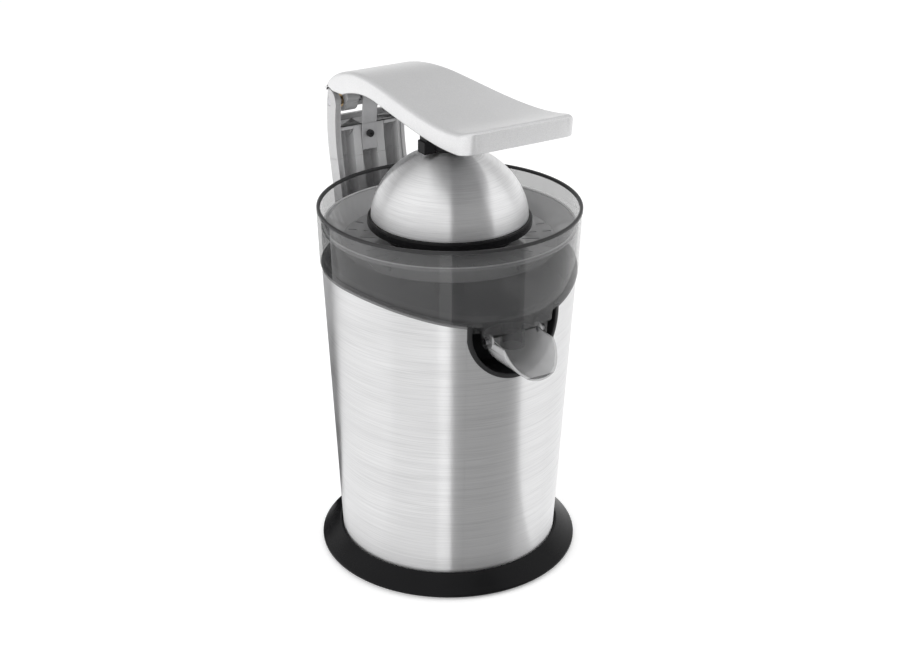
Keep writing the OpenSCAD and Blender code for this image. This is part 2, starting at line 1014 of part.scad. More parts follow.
// Floor with its outlet, the nozzle and the lugs that carry the spout
module collector_floor() {
  color([0.25, 0.25, 0.26, 0.6])
    intersection() {
      whole_collector();
      disc(big / 2, 0, floor_z + floor_t);
    }
}

slot_rings = [[49, 61], [65.5, 72]];
strainer_t = 1.8;
strainer_slope_r = 74.5;
strainer_ledge = 2;
strainer_lip_h = 2;
hub_gap = 0.4;
hub_wall = 1.8;
hub_h = 1;

module strainer() {
  slope_out_r = strainer_r - strainer_ledge;
  top_z = strainer_floor_z + strainer_t;
  color([0.3, 0.3, 0.31, 0.6])
    difference() {
      rotate_extrude($fn = 180)
        polygon([
          [chimney_r + hub_gap, strainer_floor_z],
          [strainer_slope_r, strainer_floor_z],
          [slope_out_r, strainer_z - 1],
          [strainer_r, strainer_z - 1],
          [strainer_r, strainer_z + strainer_lip_h],
          [strainer_r - 1.6, strainer_z + strainer_lip_h],
          [strainer_r - 1.6, strainer_z + 0.6],
          [slope_out_r - 0.6, strainer_z + 0.6],
          [strainer_slope_r - 0.8, top_z],
          [chimney_r + hub_gap + hub_wall, top_z],
          [chimney_r + hub_gap + hub_wall, top_z + hub_h],
          [chimney_r + hub_gap, top_z + hub_h]
        ]);
      for (ring = slot_rings)
        around(slot_count, ring[0], 3.5)
          translate([0, -slot_w / 2, strainer_floor_z - 1])
            cube([ring[1] - ring[0], slot_w, strainer_t + 2]);
    }
}

small_cone_r = 21;
small_cone_h = 36;
cone_t = 2.2;
cone_flange_r = 46;
cone_flange_t = 2.2;
cone_steps = 12;
rib_out = 2;
rib_t = 1.6;
// The ribs start inside the flange and stop short of the tip, a little proud of it
rib_low = 1;
rib_end_r = 4;
rib_end_out = 0.6;

// Radius of a reamer of foot radius r0 and height h at height z above its foot
function cone_curve(r0, h, z) = r0 * pow(max(0, 1 - pow(max(0, z) / h, 1.7)), 0.62);

module cone_body(r0, h, z0) {
  translate([0, 0, z0])
    rotate_extrude()
      polygon(concat(
        [[0, 0]],
        [for (i = [0 : cone_steps]) [cone_curve(r0, h, h * i / cone_steps), h * i / cone_steps]]
      ));
}

module cone_ribs(r0, h, z0, out) {
  last_r = cone_curve(r0, h, h * (cone_steps - 1) / cone_steps);
  end_z = h - h / cone_steps * rib_end_r / last_r + rib_end_out;
  around(rib_count, 0)
    translate([0, rib_t / 2, z0])
      rotate([90, 0, 0])
        linear_extrude(height = rib_t)
          polygon(concat(
            [[r0 * 0.3, rib_low], [r0 + out, rib_low]],
            [for (i = [1 : cone_steps - 1])
              [cone_curve(r0, h, h * i / cone_steps) + out * (1 - i / cone_steps * 0.4), h * i / cone_steps]],
            [[rib_end_r, end_z], [rib_end_r, h * 0.7]]
          ));
}

foot_h = 2;
foot_lap = 1.6;
skirt_wall = 4;
socket_gap = 0.12;

module small_cone() {
  color([0.1, 0.1, 0.1])
    difference() {
      union() {
        cone_body(small_cone_r - rib_out, small_cone_h, cone_z);
        cone_ribs(small_cone_r - rib_out, small_cone_h, cone_z, rib_out);
        disc(small_cone_r + foot_lap, cone_z, cone_z + foot_h);
      }
      // Drive socket
      translate([0, 0, cone_z - 1])
        cylinder(h = spindle_top_z + gap - cone_z + 1, r = drive_hex_r + socket_gap, $fn = 6);
    }
}

module whole_cone() {
  inner_r = cone_r - rib_out - cone_t;
  difference() {
    union() {
      cone_body(cone_r - rib_out, cone_h, cone_z);
      cone_ribs(cone_r - rib_out, cone_h, cone_z, rib_out);
      disc(cone_flange_r, cone_z, cone_z + cone_flange_t);
    }
    // Hollow, open below
    difference() {
      union() {
        cone_body(inner_r, cone_h - cone_t - 1, cone_z);
        disc(inner_r, cone_z - 1, cone_z + cone_flange_t + 1);
      }
      disc(small_cone_r + skirt_wall, cone_z - 2, cone_z + cone_h);
    }
    // Room for the small cone, with a seat on its foot
    disc(small_cone_r + foot_lap + hub_gap, cone_z - 1, cone_z + foot_h);
    cone_body(small_cone_r + hub_gap, small_cone_h + 3, cone_z + foot_h);
  }
}

// The room that the skirt takes, round the cone's foot
module skirt_room() {
  tube(cone_flange_r + 1, cone_r - rib_out - cone_t - 2, 0, cone_z + cone_flange_t);
}

module large_cone() {
  color([0.08, 0.08, 0.085])
    difference() {
      whole_cone();
      skirt_room();
    }
}

// Flat skirt at the foot of the large cone
module cone_skirt() {
  color([0.08, 0.08, 0.085])
    intersection() {
      whole_cone();
      skirt_room();
    }
}

module spout_outline(r) {
  union() {
    translate([0, -spout_y, spout_z])
      sphere(r = r);
    translate([0, -spout_y, spout_z])
      rotate([90, 0, 0])
        cylinder(h = 60, r = r);
  }
}

module spout() {
  color([0.55, 0.56, 0.57, 0.7])
    difference() {
      union() {
        difference() {
          spout_outline(spout_r);
          spout_outline(spout_r - spout_t);
          translate([-big / 2, -big / 2, spout_z])
            cube([big, big, 60]);
          // Slanted end: the lower lip reaches further out than the upper edge
          translate([0, -spout_y, spout_z])
            side_view(4 * spout_r)
              polygon([
                [-spout_top_l, 1],
                [-spout_top_l, 0],
                [-spout_lip_l, -spout_r + 3],
                [-spout_lip_l - 1, -spout_r - 1],
                [-4.5 * spout_r, -spout_r - 1],
                [-4.5 * spout_r, 1]
              ]);
        }
        for (side = [-1, 1])
          translate([side * (spout_r - spout_t / 2) - spout_t / 2, -spout_y, spout_z])
            rotate([0, 90, 0])
              cylinder(h = spout_t, r = ear_disc_r);
      }
      translate([-spout_r - 1, -spout_y, spout_z])
        rotate([0, 90, 0])
          cylinder(h = 2 * spout_r + 2, r = spout_pin_r + fit);
    }
}

module spout_pins() {
  color([0.75, 0.76, 0.78])
    for (side = [-1, 1])
      translate([side * (lug_x + lug_t) - (side > 0 ? lug_t + 2.6 : 0), -spout_y, spout_z])
        rotate([0, 90, 0])
          cylinder(h = lug_t + 2.6, r = spout_pin_r);
}

/* Column */

sweep_low = -12;
column_low_z = 70;
column_front_r = column_r - column_d;
column_back_cut_z = 288;
liner_gap = 0.15;
rib_face = 2.5;
strap_w = 12;
strap_t = 1.2;
strap_plate_y = hinge_y - 7.8;
strap_plate_z = 264.5;
strap_screw_z = 276.5;
strap_screw_r = 1.3;

// Sweeps a section, drawn with the radius to the right and x up, along the column's curve
module column_sweep(e0, e1) {
  translate([0, -column_y, column_z])
    rotate([0, 90, 0])
      rotate_extrude(angle = e1 - e0, start = 90 + e0, $fn = 360)
        children();
}

// Carries the section on downwards in a straight line
module column_straight(length) {
  translate([0, -column_y, column_z])
    rotate([sweep_low, 0, 0])
      translate([0, 0, -length])
        linear_extrude(height = length + lap_l)
          rotate(90)
            children();
}

// Section of the column: a bar with rounded back corners from radius r0 to r1
module column_section(r0, r1, half_w, corner) {
  union() {
    translate([r0, -half_w])
      square([r1 - corner - r0, 2 * half_w]);
    translate([r1 - corner - eps, -half_w + corner])
      square([corner + eps, 2 * (half_w - corner)]);
    for (side = [-1, 1])
      translate([r1 - corner, side * (half_w - corner)])
        circle(r = corner);
  }
}

straight_l = (column_z + column_r * sin(sweep_low) - column_low_z) / cos(sweep_low) + 40;
sweep_top = 16;
// Step by which the straight spine is drawn in where it meets the curve
lap = 0.03;
lap_l = 1;

module hinge_rod(radius, x0, x1) {
  translate([x0, hinge_y, hinge_z])
    rotate([0, 90, 0])
      cylinder(h = x1 - x0, r = radius);
}

// Everything that the body and the lifting collector need free
module body_room() {
  union() {
    cone_solid(sleeve_bottom_z, seam_z - 2, sleeve_bottom_r, sleeve_at(seam_z - 2));
    disc(rim_r + 1, seam_z - 2, big);
  }
}

// Section of the spine from radius r0 outwards, drawn in from the column's outline by inset
module spine_section(r0, inset) {
  column_section(r0, column_r - inset, column_w - inset, column_corner_r - inset);
}

module column_shell() {
  color([0.72, 0.72, 0.73])
    difference() {
      union() {
        // Curved channel and cheeks
        intersection() {
          column_sweep(sweep_low, sweep_top)
            difference() {
              spine_section(column_front_r, 0);
              spine_section(column_front_r - 5, column_t);
            }
          union() {
            translate([-big / 2, 0, 0])
              cube([big, big, hinge_z]);
            hinge_rod(cheek_r, -big / 2, big / 2);
          }
        }
        // Straight spine down the back of the sleeve
        difference() {
          column_straight(straight_l)
            difference() {
              spine_section(column_r - 60, lap);
              spine_section(column_r - 65, column_t - lap);
            }
          spine_top_cut();
        }
        // Closing plates at the top and the bottom of the spine, and the screws' bosses
        intersection() {
          column_straight(straight_l)
            spine_section(column_r - 60, 1);
          union() {
            translate([-big / 2, 0, channel_z - column_t])
              cube([big, big, column_t]);
            translate([-big / 2, 0, column_low_z - 1])
              cube([big, big, column_t + 1]);
            intersection() {
              tube(rim_r + 3.2, rim_r, seam_z - 3, channel_z - 1);
              translate([-big / 2, 0, 0])
                cube([big, big, big]);
            }
            column_screw_bosses();
          }
        }
      }
      body_room();
      translate([-big / 2, -big / 2, 0])
        cube([big, big, column_low_z]);
      // Open back behind the hinge
      translate([-column_w + column_t, 60, column_back_cut_z])
        cube([2 * (column_w - column_t), big, big]);
      hinge_rod(axle_r, -column_w - 1, column_w + 1);
      column_screw_place()
        disc(screw_r, 0, 22);
    }
}

// Cuts the spine's long side walls back to the channel's front above the closing plate
module spine_top_cut() {
  translate([0, -column_y, column_z])
    rotate([sweep_low, 0, 0])
      intersection() {
        translate([-big / 2, -big + column_front_r + lap, -big])
          cube([big, big, 2 * big]);
        rotate([-sweep_low, 0, 0])
          translate([-big / 2, -big, channel_z - column_z])
            cube([big, 2 * big, big]);
      }
}

module column_screw_bosses() {
  column_screw_place()
    disc(pad_r, 0, 60);
}

module column_screws() {
  color([0.7, 0.7, 0.72])
    column_screw_place()
      screw(20);
}

liner_w = column_w - column_t - liner_gap;
liner_back_r = column_r - column_t - liner_gap;
liner_corner_r = column_corner_r - column_t - liner_gap;
liner_t = 2;
liner_cheek_t = 2.2;
liner_cheek_front_r = column_front_r + 1;
upright_w = 6.3;
cross_rib_e = -0.4;

// Section of the liner, drawn in from its outline by inset: a web, two cheeks and two uprights
module liner_section(inset) {
  face = column_front_r + rib_face + inset;
  back = liner_back_r - inset;
  half_w = liner_w - inset;
  corner = liner_corner_r - inset;
  union() {
    difference() {
      column_section(liner_cheek_front_r + inset, back, half_w, corner);
      column_section(
        liner_cheek_front_r - 1, liner_back_r - liner_t + inset,
        liner_w - liner_cheek_t + inset, liner_corner_r - liner_t + inset
      );
    }
    for (side = [-1, 1])
      translate([face, side * (strap_w / 2 + upright_w / 2 + 0.2) - upright_w / 2 + inset])
        square([back - 1 - face, upright_w - 2 * inset]);
  }
}

module column_liner() {
  color([0.42, 0.42, 0.43])
    difference() {
      union() {
        // Web, cheeks and uprights, up to the cross rib
        column_sweep(sweep_low, cross_rib_e)
          liner_section(0);
        intersection() {
          column_straight(60)
            liner_section(lap);
          translate([-big / 2, 0, channel_z + 0.1])
            cube([big, big, big]);
        }
        // Cross rib
        column_sweep(cross_rib_e - 1.6, cross_rib_e)
          column_section(
            column_front_r + rib_face + lap, liner_back_r - lap, liner_w - 0.5, liner_corner_r - 0.5
          );
        // Cheeks beside the hinge
        intersection() {
          column_sweep(cross_rib_e - 0.8, 14)
            for (side = [-1, 1])
              translate([
                liner_cheek_front_r + lap,
                side * (liner_w - liner_cheek_t / 2) - liner_cheek_t / 2 + lap
              ])
                square([column_d - liner_corner_r - 4, liner_cheek_t - 2 * lap]);
          union() {
            translate([-big / 2, 0, 0])
              cube([big, big, hinge_z]);
            hinge_rod(cheek_r - 1, -big / 2, big / 2);
          }
        }
        // Boss behind the strap's screw
        intersection() {
          translate([-strap_w / 2 + 0.3, strap_plate_y + strap_t, strap_plate_z])
            cube([strap_w - 0.6, 30, 20]);
          column_sweep(sweep_low, 6)
            translate([column_front_r - 3, -liner_w])
              square([liner_back_r - column_front_r + 2.9, 2 * liner_w]);
        }
      }
      hinge_rod(axle_r, -column_w - 1, column_w + 1);
      translate([0, strap_plate_y, strap_screw_z])
        rotate([-90, 0, 0])
          disc(strap_screw_r, 0, 11);
    }
}

module hinge_strap() {
  out_r = 10.2;
  in_r = out_r - strap_t;
  leg_low = [strap_plate_y, strap_plate_z + 21.5];
  color([0.5, 0.5, 0.51])
    difference() {
      side_view(strap_w)
        union() {
          translate([strap_plate_y, strap_plate_z])
            square([strap_t, 22]);
          polygon([
            leg_low,
            leg_low + [strap_t, 0],
            [hinge_y - in_r, hinge_z],
            [hinge_y - out_r, hinge_z]
          ]);
          intersection() {
            translate([hinge_y, hinge_z])
              difference() {
                circle(r = out_r);
                circle(r = in_r);
              }
            translate([hinge_y - 20, hinge_z - eps])
              square([40, 20]);
          }
          translate([hinge_y + in_r, hinge_z - 9])
            square([strap_t, 9]);
        }
      translate([0, strap_plate_y - 1, strap_screw_z])
        rotate([-90, 0, 0])
          disc(1.8, 0, 4);
    }
}

module strap_screw() {
  color([0.25, 0.25, 0.26])
    translate([0, strap_plate_y, strap_screw_z])
      rotate([-90, 0, 0])
        screw(10, strap_screw_r, 2.7);
}

module hinge_axle() {
  color([0.75, 0.76, 0.78])
    hinge_rod(axle_r, -column_w + 0.3, column_w - 0.3);
}

/* Lever */

arm_room_r = cheek_r + 0.5;
arm_steps = 14;
arm_back = [hinge_y + 6, hinge_z + 9.8];
arm_crest = [50, 334];
arm_tip = [-arm_tip_y, 335.5];
arm_tip_low = [-arm_tip_y - 0.5, 321];
arm_mid_low = [45, 321];
arm_back_low = [97, 312];
arm_hinge_x0 = 9;
arm_hinge_x1 = 19;
bush_wall = 1.6;
plate_depth = 1;
under_t = 2.2;

function bezier(a, b, c, d, t) =
  pow(1 - t, 3) * a + 3 * t * pow(1 - t, 2) * b + 3 * t * t * (1 - t) * c + pow(t, 3) * d;
function curve(a, b, c, d) = [for (i = [0 : arm_steps]) bezier(a, b, c, d, i / arm_steps)];

top_back_curve = curve(arm_back, [hinge_y - 1, 326], [85, 334.5], arm_crest);
top_front_curve = curve(arm_crest, [15, 333.5], [-45, 324], arm_tip);
low_front_curve = curve(arm_tip_low, [-50, 313.5], [0, 318], arm_mid_low);
low_back_curve = curve(arm_mid_low, [65, 322], [84, 317], arm_back_low);

// Side view of the lever, with its top lowered by dz, its tip moved in by dy and its underside by low
module arm_side(dz = 0, dy = 0, low = 0) {
  polygon(concat(
    [for (p = top_back_curve) p + [-dy * p[1] / hinge_z * (p[0] > 100 ? 1 : 0), -dz]],
    [for (p = top_front_curve) p + [p[0] < 0 ? dy * p[0] / -arm_tip_y : 0, -dz]],
    [for (p = low_front_curve) p + [p[0] < 0 ? dy * p[0] / -arm_tip_y : 0, low]],
    [for (p = low_back_curve) p + [0, low]],
    [[hinge_y - 4.5, hinge_z + 9 + low]]
  ));
}

// View of the lever from above, drawn in by inset
// Behind this depth the lever keeps its width
arm_straight_y = 92;

module arm_plan(inset) {
  back_y = hinge_y + 20;
  c = arm_corner_r - inset;
  union() {
    polygon([
      [-(arm_back_w - inset), back_y],
      [-(arm_back_w - inset), arm_straight_y],
      [-(arm_tip_w - inset), -arm_tip_y + arm_corner_r],
      [arm_tip_w - inset, -arm_tip_y + arm_corner_r],
      [arm_back_w - inset, arm_straight_y],
      [arm_back_w - inset, back_y]
    ]);
    translate([-(arm_tip_w - arm_corner_r), -arm_tip_y - 2 + inset])
      square([2 * (arm_tip_w - arm_corner_r), arm_corner_r + 3]);
    for (side = [-1, 1])
      translate([side * (arm_tip_w - arm_corner_r), -arm_tip_y - 2 + arm_corner_r])
        circle(r = c);
    translate([-(arm_tip_w - inset), -arm_tip_y - 2 + arm_corner_r])
      square([2 * (arm_tip_w - inset), 3]);
  }
}

module arm_solid(inset, dz, dy, low) {
  intersection() {
    side_view(3 * arm_tip_w)
      arm_side(dz, dy, low);
    translate([0, 0, hinge_z - 20])
      linear_extrude(height = 80)
        arm_plan(inset);
  }
}

module arm_shell() {
  color([0.74, 0.74, 0.75])
    difference() {
      arm_solid(0, 0, 0, 0);
      arm_solid(arm_t, arm_t, arm_t, -6);
      hinge_rod(arm_room_r, -big / 2, big / 2);
    }
}

// Plate that closes the lever from below, from depth d0 to depth d1 above its lower edge
module underside_plate(inset, d0, d1) {
  intersection() {
    side_view(3 * arm_tip_w)
      polygon(concat(
        [for (p = low_front_curve) p + [arm_t + 0.6 + (p[0] < 0 ? 0.2 : 0), d0]],
        [for (p = low_back_curve) p + [0, d0]],
        [for (i = [arm_steps : -1 : 0]) low_back_curve[i] + [0, d1]],
        [for (i = [arm_steps : -1 : 0]) low_front_curve[i] + [arm_t + 0.8, d1]]
      ));
    translate([0, 0, hinge_z - 20])
      linear_extrude(height = 80)
        arm_plan(inset);
  }
}

arm_screw_pos = [[-22, -62], [22, -62], [-17, 70], [17, 70]];
arm_screw_r = 1.4;
// Height of the lever's lower edge at the screws
arm_screw_z = 319;
mount_r = 14.5;
mount_low_z = dome_z + dome_h + 0.4;
mount_top_z = 319.6;

module arm_underside() {
  color([0.45, 0.45, 0.46])
    difference() {
      union() {
        underside_plate(arm_t + gap, plate_depth, plate_depth + under_t);
        // Ears around the axle
        for (side = [-1, 1])
          intersection() {
            translate([side * (arm_hinge_x0 + arm_hinge_x1) / 2, 0, 0])
              side_view(arm_hinge_x1 - arm_hinge_x0)
                union() {
                  translate([hinge_y, hinge_z])
                    circle(r = 8);
                  polygon([
                    [hinge_y - 8, hinge_z],
                    [hinge_y + 4, hinge_z],
                    [hinge_y - 6, 317],
                    [88, 324],
                    [86, 317.5],
                    [97, 313.5]
                  ]);
                }
            union() {
              arm_solid(arm_t + gap, arm_t + gap, arm_t + gap, -1);
              hinge_rod(arm_room_r + 1, -30, 30);
            }
          }
        for (p = arm_screw_pos)
          translate([p[0], p[1], 0])
            disc(3.6, arm_screw_z, 326);
      }
      hinge_rod(axle_r + fit + bush_wall, -30, 30);
      for (p = arm_screw_pos)
        translate([p[0], p[1], 0])
          disc(arm_screw_r, arm_screw_z - 4, 324.5);
      disc(6, mount_top_z - 2, mount_top_z + 8);
    }
}

module hinge_bushes() {
  color([0.75, 0.6, 0.35])
    for (side = [-1, 1])
      translate([side > 0 ? arm_hinge_x0 : -arm_hinge_x1, hinge_y, hinge_z])
        rotate([0, 90, 0])
          difference() {
            cylinder(h = arm_hinge_x1 - arm_hinge_x0, r = axle_r + fit + bush_wall);
            translate([0, 0, -1])
              cylinder(h = 20, r = axle_r + fit);
          }
}

module arm_screws() {
  color([0.6, 0.6, 0.62])
    for (p = arm_screw_pos)
      translate([p[0], p[1], arm_screw_z - 0.2])
        screw(5, arm_screw_r, 2.8);
}

/* Press dome */

pin_r = 2.5;
slot_half_w = 6.4;
lug_half = 6;
dome_t = 0.8;
carrier_t = 2.2;
flange_r = 56;
flange_low_z = dome_z - 5.8;
dome_steps = 16;
// Joint between the carrier and the ring under it
ring_top_z = dome_z + 12;

// A point of a dome of edge radius r0 and height h, at angle a above the edge
function dome_point(r0, h, a) = [r0 * pow(cos(a), 1.06), dome_z + h * pow(sin(a), 1.06)];

module dome_solid(r0, h, low_z) {
  rotate_extrude($fn = 180)
    polygon(concat(
      [[0, low_z], [r0, low_z]],
      [for (i = [0 : dome_steps - 1]) dome_point(r0, h, 90 * i / dome_steps)],
      [[0, dome_z + h]]
    ));
}

module press_dome() {
  color([0.8, 0.8, 0.8])
    difference() {
      dome_solid(dome_r, dome_h, dome_z);
      dome_solid(dome_r - dome_t, dome_h - dome_t, dome_z - 1);
      disc(mount_r - 4, dome_z + dome_h - 8, dome_z + dome_h + 1);
    }
}

module whole_carrier() {
  fit_gap = 0.1;
  outer_r = dome_r - dome_t - fit_gap;
  outer_h = dome_h - dome_t - fit_gap;
  difference() {
    union() {
      dome_solid(outer_r, outer_h, flange_low_z);
      rotate_extrude($fn = 180)
        polygon([
          [outer_r - 3, flange_low_z],
          [flange_r - 0.8, flange_low_z],
          [flange_r, flange_low_z + 0.8],
          [flange_r, dome_z - 1],
          [flange_r - 0.8, dome_z - 0.1],
          [outer_r - 3, dome_z - 0.1]
        ]);
      // Lug on the swivel pin
      translate([-lug_half, -7, dome_z + dome_h - 6])
        cube([2 * lug_half, 14, dome_pin_z - dome_z - dome_h + 6]);
      translate([-lug_half, 0, dome_pin_z])
        rotate([0, 90, 0])
          cylinder(h = 2 * lug_half, r = 7);
    }
    difference() {
      dome_solid(outer_r - carrier_t, outer_h - carrier_t, flange_low_z - 1);
      disc(outer_r, flange_low_z - 2, flange_low_z - 1);
    }
    translate([-20, 0, dome_pin_z])
      rotate([0, 90, 0])
        cylinder(h = 40, r = pin_r + fit);
  }
}

module dome_carrier() {
  color([0.06, 0.06, 0.065])
    intersection() {
      whole_carrier();
      disc(dome_r, ring_top_z, big);
    }
}

// Ring that holds the steel shell's edge
module dome_ring() {
  color([0.06, 0.06, 0.065])
    intersection() {
      whole_carrier();
      disc(flange_r + 1, 0, ring_top_z);
    }
}

module dome_pin() {
  color([0.75, 0.76, 0.78])
    translate([-mount_r + 0.5, 0, dome_pin_z])
      rotate([0, 90, 0])
        cylinder(h = 2 * mount_r - 1, r = pin_r);
}

module dome_mount() {
  color([0.1, 0.1, 0.105])
    difference() {
      union() {
        intersection() {
          disc(mount_r, mount_low_z, mount_top_z + 2);
          below_underside();
        }
        disc(5.8, mount_top_z - 1.9, mount_top_z + 4);
      }
      translate([-slot_half_w, -9, mount_low_z - 1])
        cube([2 * slot_half_w, 18, dome_pin_z + 8 - mount_low_z + 1]);
      translate([-20, 0, dome_pin_z])
        rotate([0, 90, 0])
          cylinder(h = 40, r = pin_r);
    }
}

// Everything below the lever's closing plate
module below_underside() {
  side_view(120)
    polygon(concat(
      [for (p = low_front_curve) p + [arm_t + 0.8, plate_depth]],
      [[80, 250], [-80, 250]]
    ));
}

clip_l = 8;
clip_w = 9;
clip_low_z = mount_low_z - 1.6;
clip_top_z = 308.3;

module dome_clips() {
  color([0.12, 0.12, 0.125])
    for (side = [-1, 1])
      mirror([side < 0 ? 1 : 0, 0, 0])
        difference() {
          translate([mount_r - 2, -clip_w / 2, clip_low_z])
            cube([clip_l + 2, clip_w, clip_top_z - clip_low_z]);
          disc(mount_r, clip_low_z - 1, mount_top_z);
          // Stepped outer corner
          translate([mount_r + clip_l - 1.5, -clip_w, clip_top_z - 4])
            cube([2, 2 * clip_w, 5]);
        }
}

base_ring();
base_plate();
foot_ring();
base_screws();
cord_gland();
sleeve();
seam_trim();
notch_trim();
housing_foot();
inner_housing();
housing_collar();
motor_stator();
motor_coils();
motor_rotor();
motor_shaft();
motor_lower_bracket();
motor_upper_bracket();
motor_bearings();
motor_bolts();
motor_fan();
motor_pinion();
gearbox_case();
gearbox_cover();
gearbox_screws();
idler_axle();
idler_gear();
output_gear();
spindle_bush();
spindle_seal();
drive_spindle();
thrust_collar();
return_spring();
press_switch();
switch_plunger();
collector();
collector_bowl();
collector_floor();
strainer();
large_cone();
cone_skirt();
small_cone();
spout();
spout_pins();
column_shell();
column_liner();
column_screws();
hinge_strap();
strap_screw();
hinge_axle();
arm_shell();
arm_underside();
arm_screws();
hinge_bushes();
dome_mount();
dome_clips();
dome_pin();
dome_carrier();
dome_ring();
press_dome();
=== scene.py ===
import json
from contextlib import contextmanager
from math import asin, atan2, cos, hypot, pi, radians, sin, sqrt, tan

import bmesh
import bpy
from mathutils import Matrix, Vector

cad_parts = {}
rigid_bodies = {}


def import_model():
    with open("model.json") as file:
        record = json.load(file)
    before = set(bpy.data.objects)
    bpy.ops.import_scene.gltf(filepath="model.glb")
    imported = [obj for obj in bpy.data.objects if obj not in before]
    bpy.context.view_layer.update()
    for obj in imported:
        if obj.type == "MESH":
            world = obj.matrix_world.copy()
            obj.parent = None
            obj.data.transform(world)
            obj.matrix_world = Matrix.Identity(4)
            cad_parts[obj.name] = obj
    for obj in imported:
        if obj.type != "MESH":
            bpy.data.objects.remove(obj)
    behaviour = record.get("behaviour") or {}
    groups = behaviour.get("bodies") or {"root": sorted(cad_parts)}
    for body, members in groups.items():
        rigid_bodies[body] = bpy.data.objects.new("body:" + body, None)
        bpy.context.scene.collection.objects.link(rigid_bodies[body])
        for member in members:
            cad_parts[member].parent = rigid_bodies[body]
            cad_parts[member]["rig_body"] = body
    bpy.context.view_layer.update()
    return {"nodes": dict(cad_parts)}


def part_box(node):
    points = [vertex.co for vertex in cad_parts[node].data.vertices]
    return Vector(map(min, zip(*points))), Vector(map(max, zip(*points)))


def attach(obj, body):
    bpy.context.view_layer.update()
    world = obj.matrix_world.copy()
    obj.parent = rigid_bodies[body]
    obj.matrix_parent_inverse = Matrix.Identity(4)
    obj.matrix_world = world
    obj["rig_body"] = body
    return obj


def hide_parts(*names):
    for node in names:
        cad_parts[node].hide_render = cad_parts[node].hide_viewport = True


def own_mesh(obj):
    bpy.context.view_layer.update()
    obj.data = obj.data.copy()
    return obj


# The juicer stands on z = 0 with its axis on the z axis, and pours towards -y.
# Shapes are worked out in millimetres and made in metres. A turn is an angle round the axis from the front.
MM = 0.001

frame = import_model()
scene = bpy.context.scene
scene.view_settings.view_transform = "Standard"


# Measures from the frame

def span(node):
    """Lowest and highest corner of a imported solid, in millimetres."""
    low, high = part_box(node)
    return low / MM, high / MM


def middle(node):
    """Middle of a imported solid's box, in millimetres."""
    return [(low + high) / 2 for low, high in zip(*span(node))]


def reach(node, z, near=0.2):
    """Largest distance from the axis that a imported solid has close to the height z."""
    points = (vert.co / MM for vert in frame["nodes"][node].data.vertices)
    return max(hypot(p.x, p.y) for p in points if abs(p.z - z) <= near)


ring_low, ring_high = span("base_ring")
base_r = ring_high.x
sleeve_low, sleeve_high = span("sleeve")
seam_z = sleeve_high.z
sleeve_head_r = sleeve_high.x
sleeve_foot_r = reach("sleeve", sleeve_low.z)
trim_h = span("seam_trim")[1].z - seam_z
rim_r, _, rim_z = span("collector")[1]
dome_low, dome_high = span("press_dome")
strainer_low, strainer_high = span("strainer")
_, hinge_y, hinge_z = middle("hinge_axle")
_, pivot_y, pivot_z = middle("spout_pins")

SHEET_T = 0.8
TRIM_PROUD = 0.5
# The seam runs level up to this distance in front of the axis, and then sweeps down on this radius
SEAM_FLAT_Y = 10
SEAM_SWEEP_R = 187
# The notch is a half circle round a point at this height, with straight sides above
NOTCH_R = 36
NOTCH_Z = 197.7
NOTCH_SIDE_H = 3
NOTCH_TRIM_W = 3.2


def sleeve_r(z):
    """Radius of the sleeve's outside at height z."""
    share = (z - sleeve_low.z) / (seam_z - sleeve_low.z)
    return sleeve_foot_r + (sleeve_head_r - sleeve_foot_r) * share


def seam_height(y, lift=0.0):
    """Height of the seam at depth y, or of a line that runs lift above it."""
    ahead = max(0.0, -y - SEAM_FLAT_Y)
    if ahead == 0:
        return seam_z + lift
    return seam_z - SEAM_SWEEP_R + sqrt((SEAM_SWEEP_R + lift) ** 2 - ahead**2)


def seam_at(turn, lift=0.0, radius=sleeve_r, rounds=4):
    """Height of the seam, or of a line lift above it, on a wall whose radius depends on the height."""
    z = seam_z
    for _ in range(rounds):
        z = seam_height(-radius(z) * cos(turn), lift)
    return z


# Turn from the front to the notch's side, where the seam meets it
notch_turn = asin(NOTCH_R / sleeve_r(NOTCH_Z + NOTCH_SIDE_H))


# Points and outlines

def spot(turn, r, z):
    return r * sin(turn), -r * cos(turn), z


def upright(turn, outline):
    """An outline of (radius, height) stood at one turn."""
    return [spot(turn, r, z) for r, z in outline]


def round_the_back(half_gap, steps):
    """Turns from one side of a gap at the front round the back to its other side."""
    return [half_gap + 2 * (pi - half_gap) * i / steps for i in range(steps + 1)]


def quarter(steps):
    """Angles from 0 to a right angle."""
    return [radians(90 * i / steps) for i in range(steps + 1)]


def rounded(corners, steps):
    """Outline through corners (u, v, radius), each one rounded to its radius."""
    outline = []
    for i, (u, v, radius) in enumerate(corners):
        here = Vector((u, v))
        if radius == 0:
            outline.append(here)
            continue
        back = (Vector(corners[i - 1][:2]) - here).normalized()
        ahead = (Vector(corners[(i + 1) % len(corners)][:2]) - here).normalized()
        half = back.angle(ahead) / 2
        centre = here + (back + ahead).normalized() * radius / sin(half)
        start = here + back * radius / tan(half) - centre
        end = here + ahead * radius / tan(half) - centre
        outline += [centre + start.slerp(end, k / steps) * radius for k in range(steps + 1)]
    return outline


def net(rows, looped=True):
    """Faces between neighbouring closed rows of points; looped joins the last row to the first."""
    count, width = len(rows), len(rows[0])
    faces = []
    for i in range(count if looped else count - 1):
        below, above = i * width, (i + 1) % count * width
        for j in range(width):
            k = (j + 1) % width
            faces.append((below + j, below + k, above + k, above + j))
    return faces


def shell(rows, looped=True):
    """Points and faces of a closed shape over rows; rows that aren't looped get both ends filled."""
    faces = net(rows, looped)
    if not looped:
        width, last = len(rows[0]), len(rows[0]) * (len(rows) - 1)
        faces += [tuple(range(width)), tuple(range(last, last + width))]
    return [point for row in rows for point in row], faces


# Mesh making

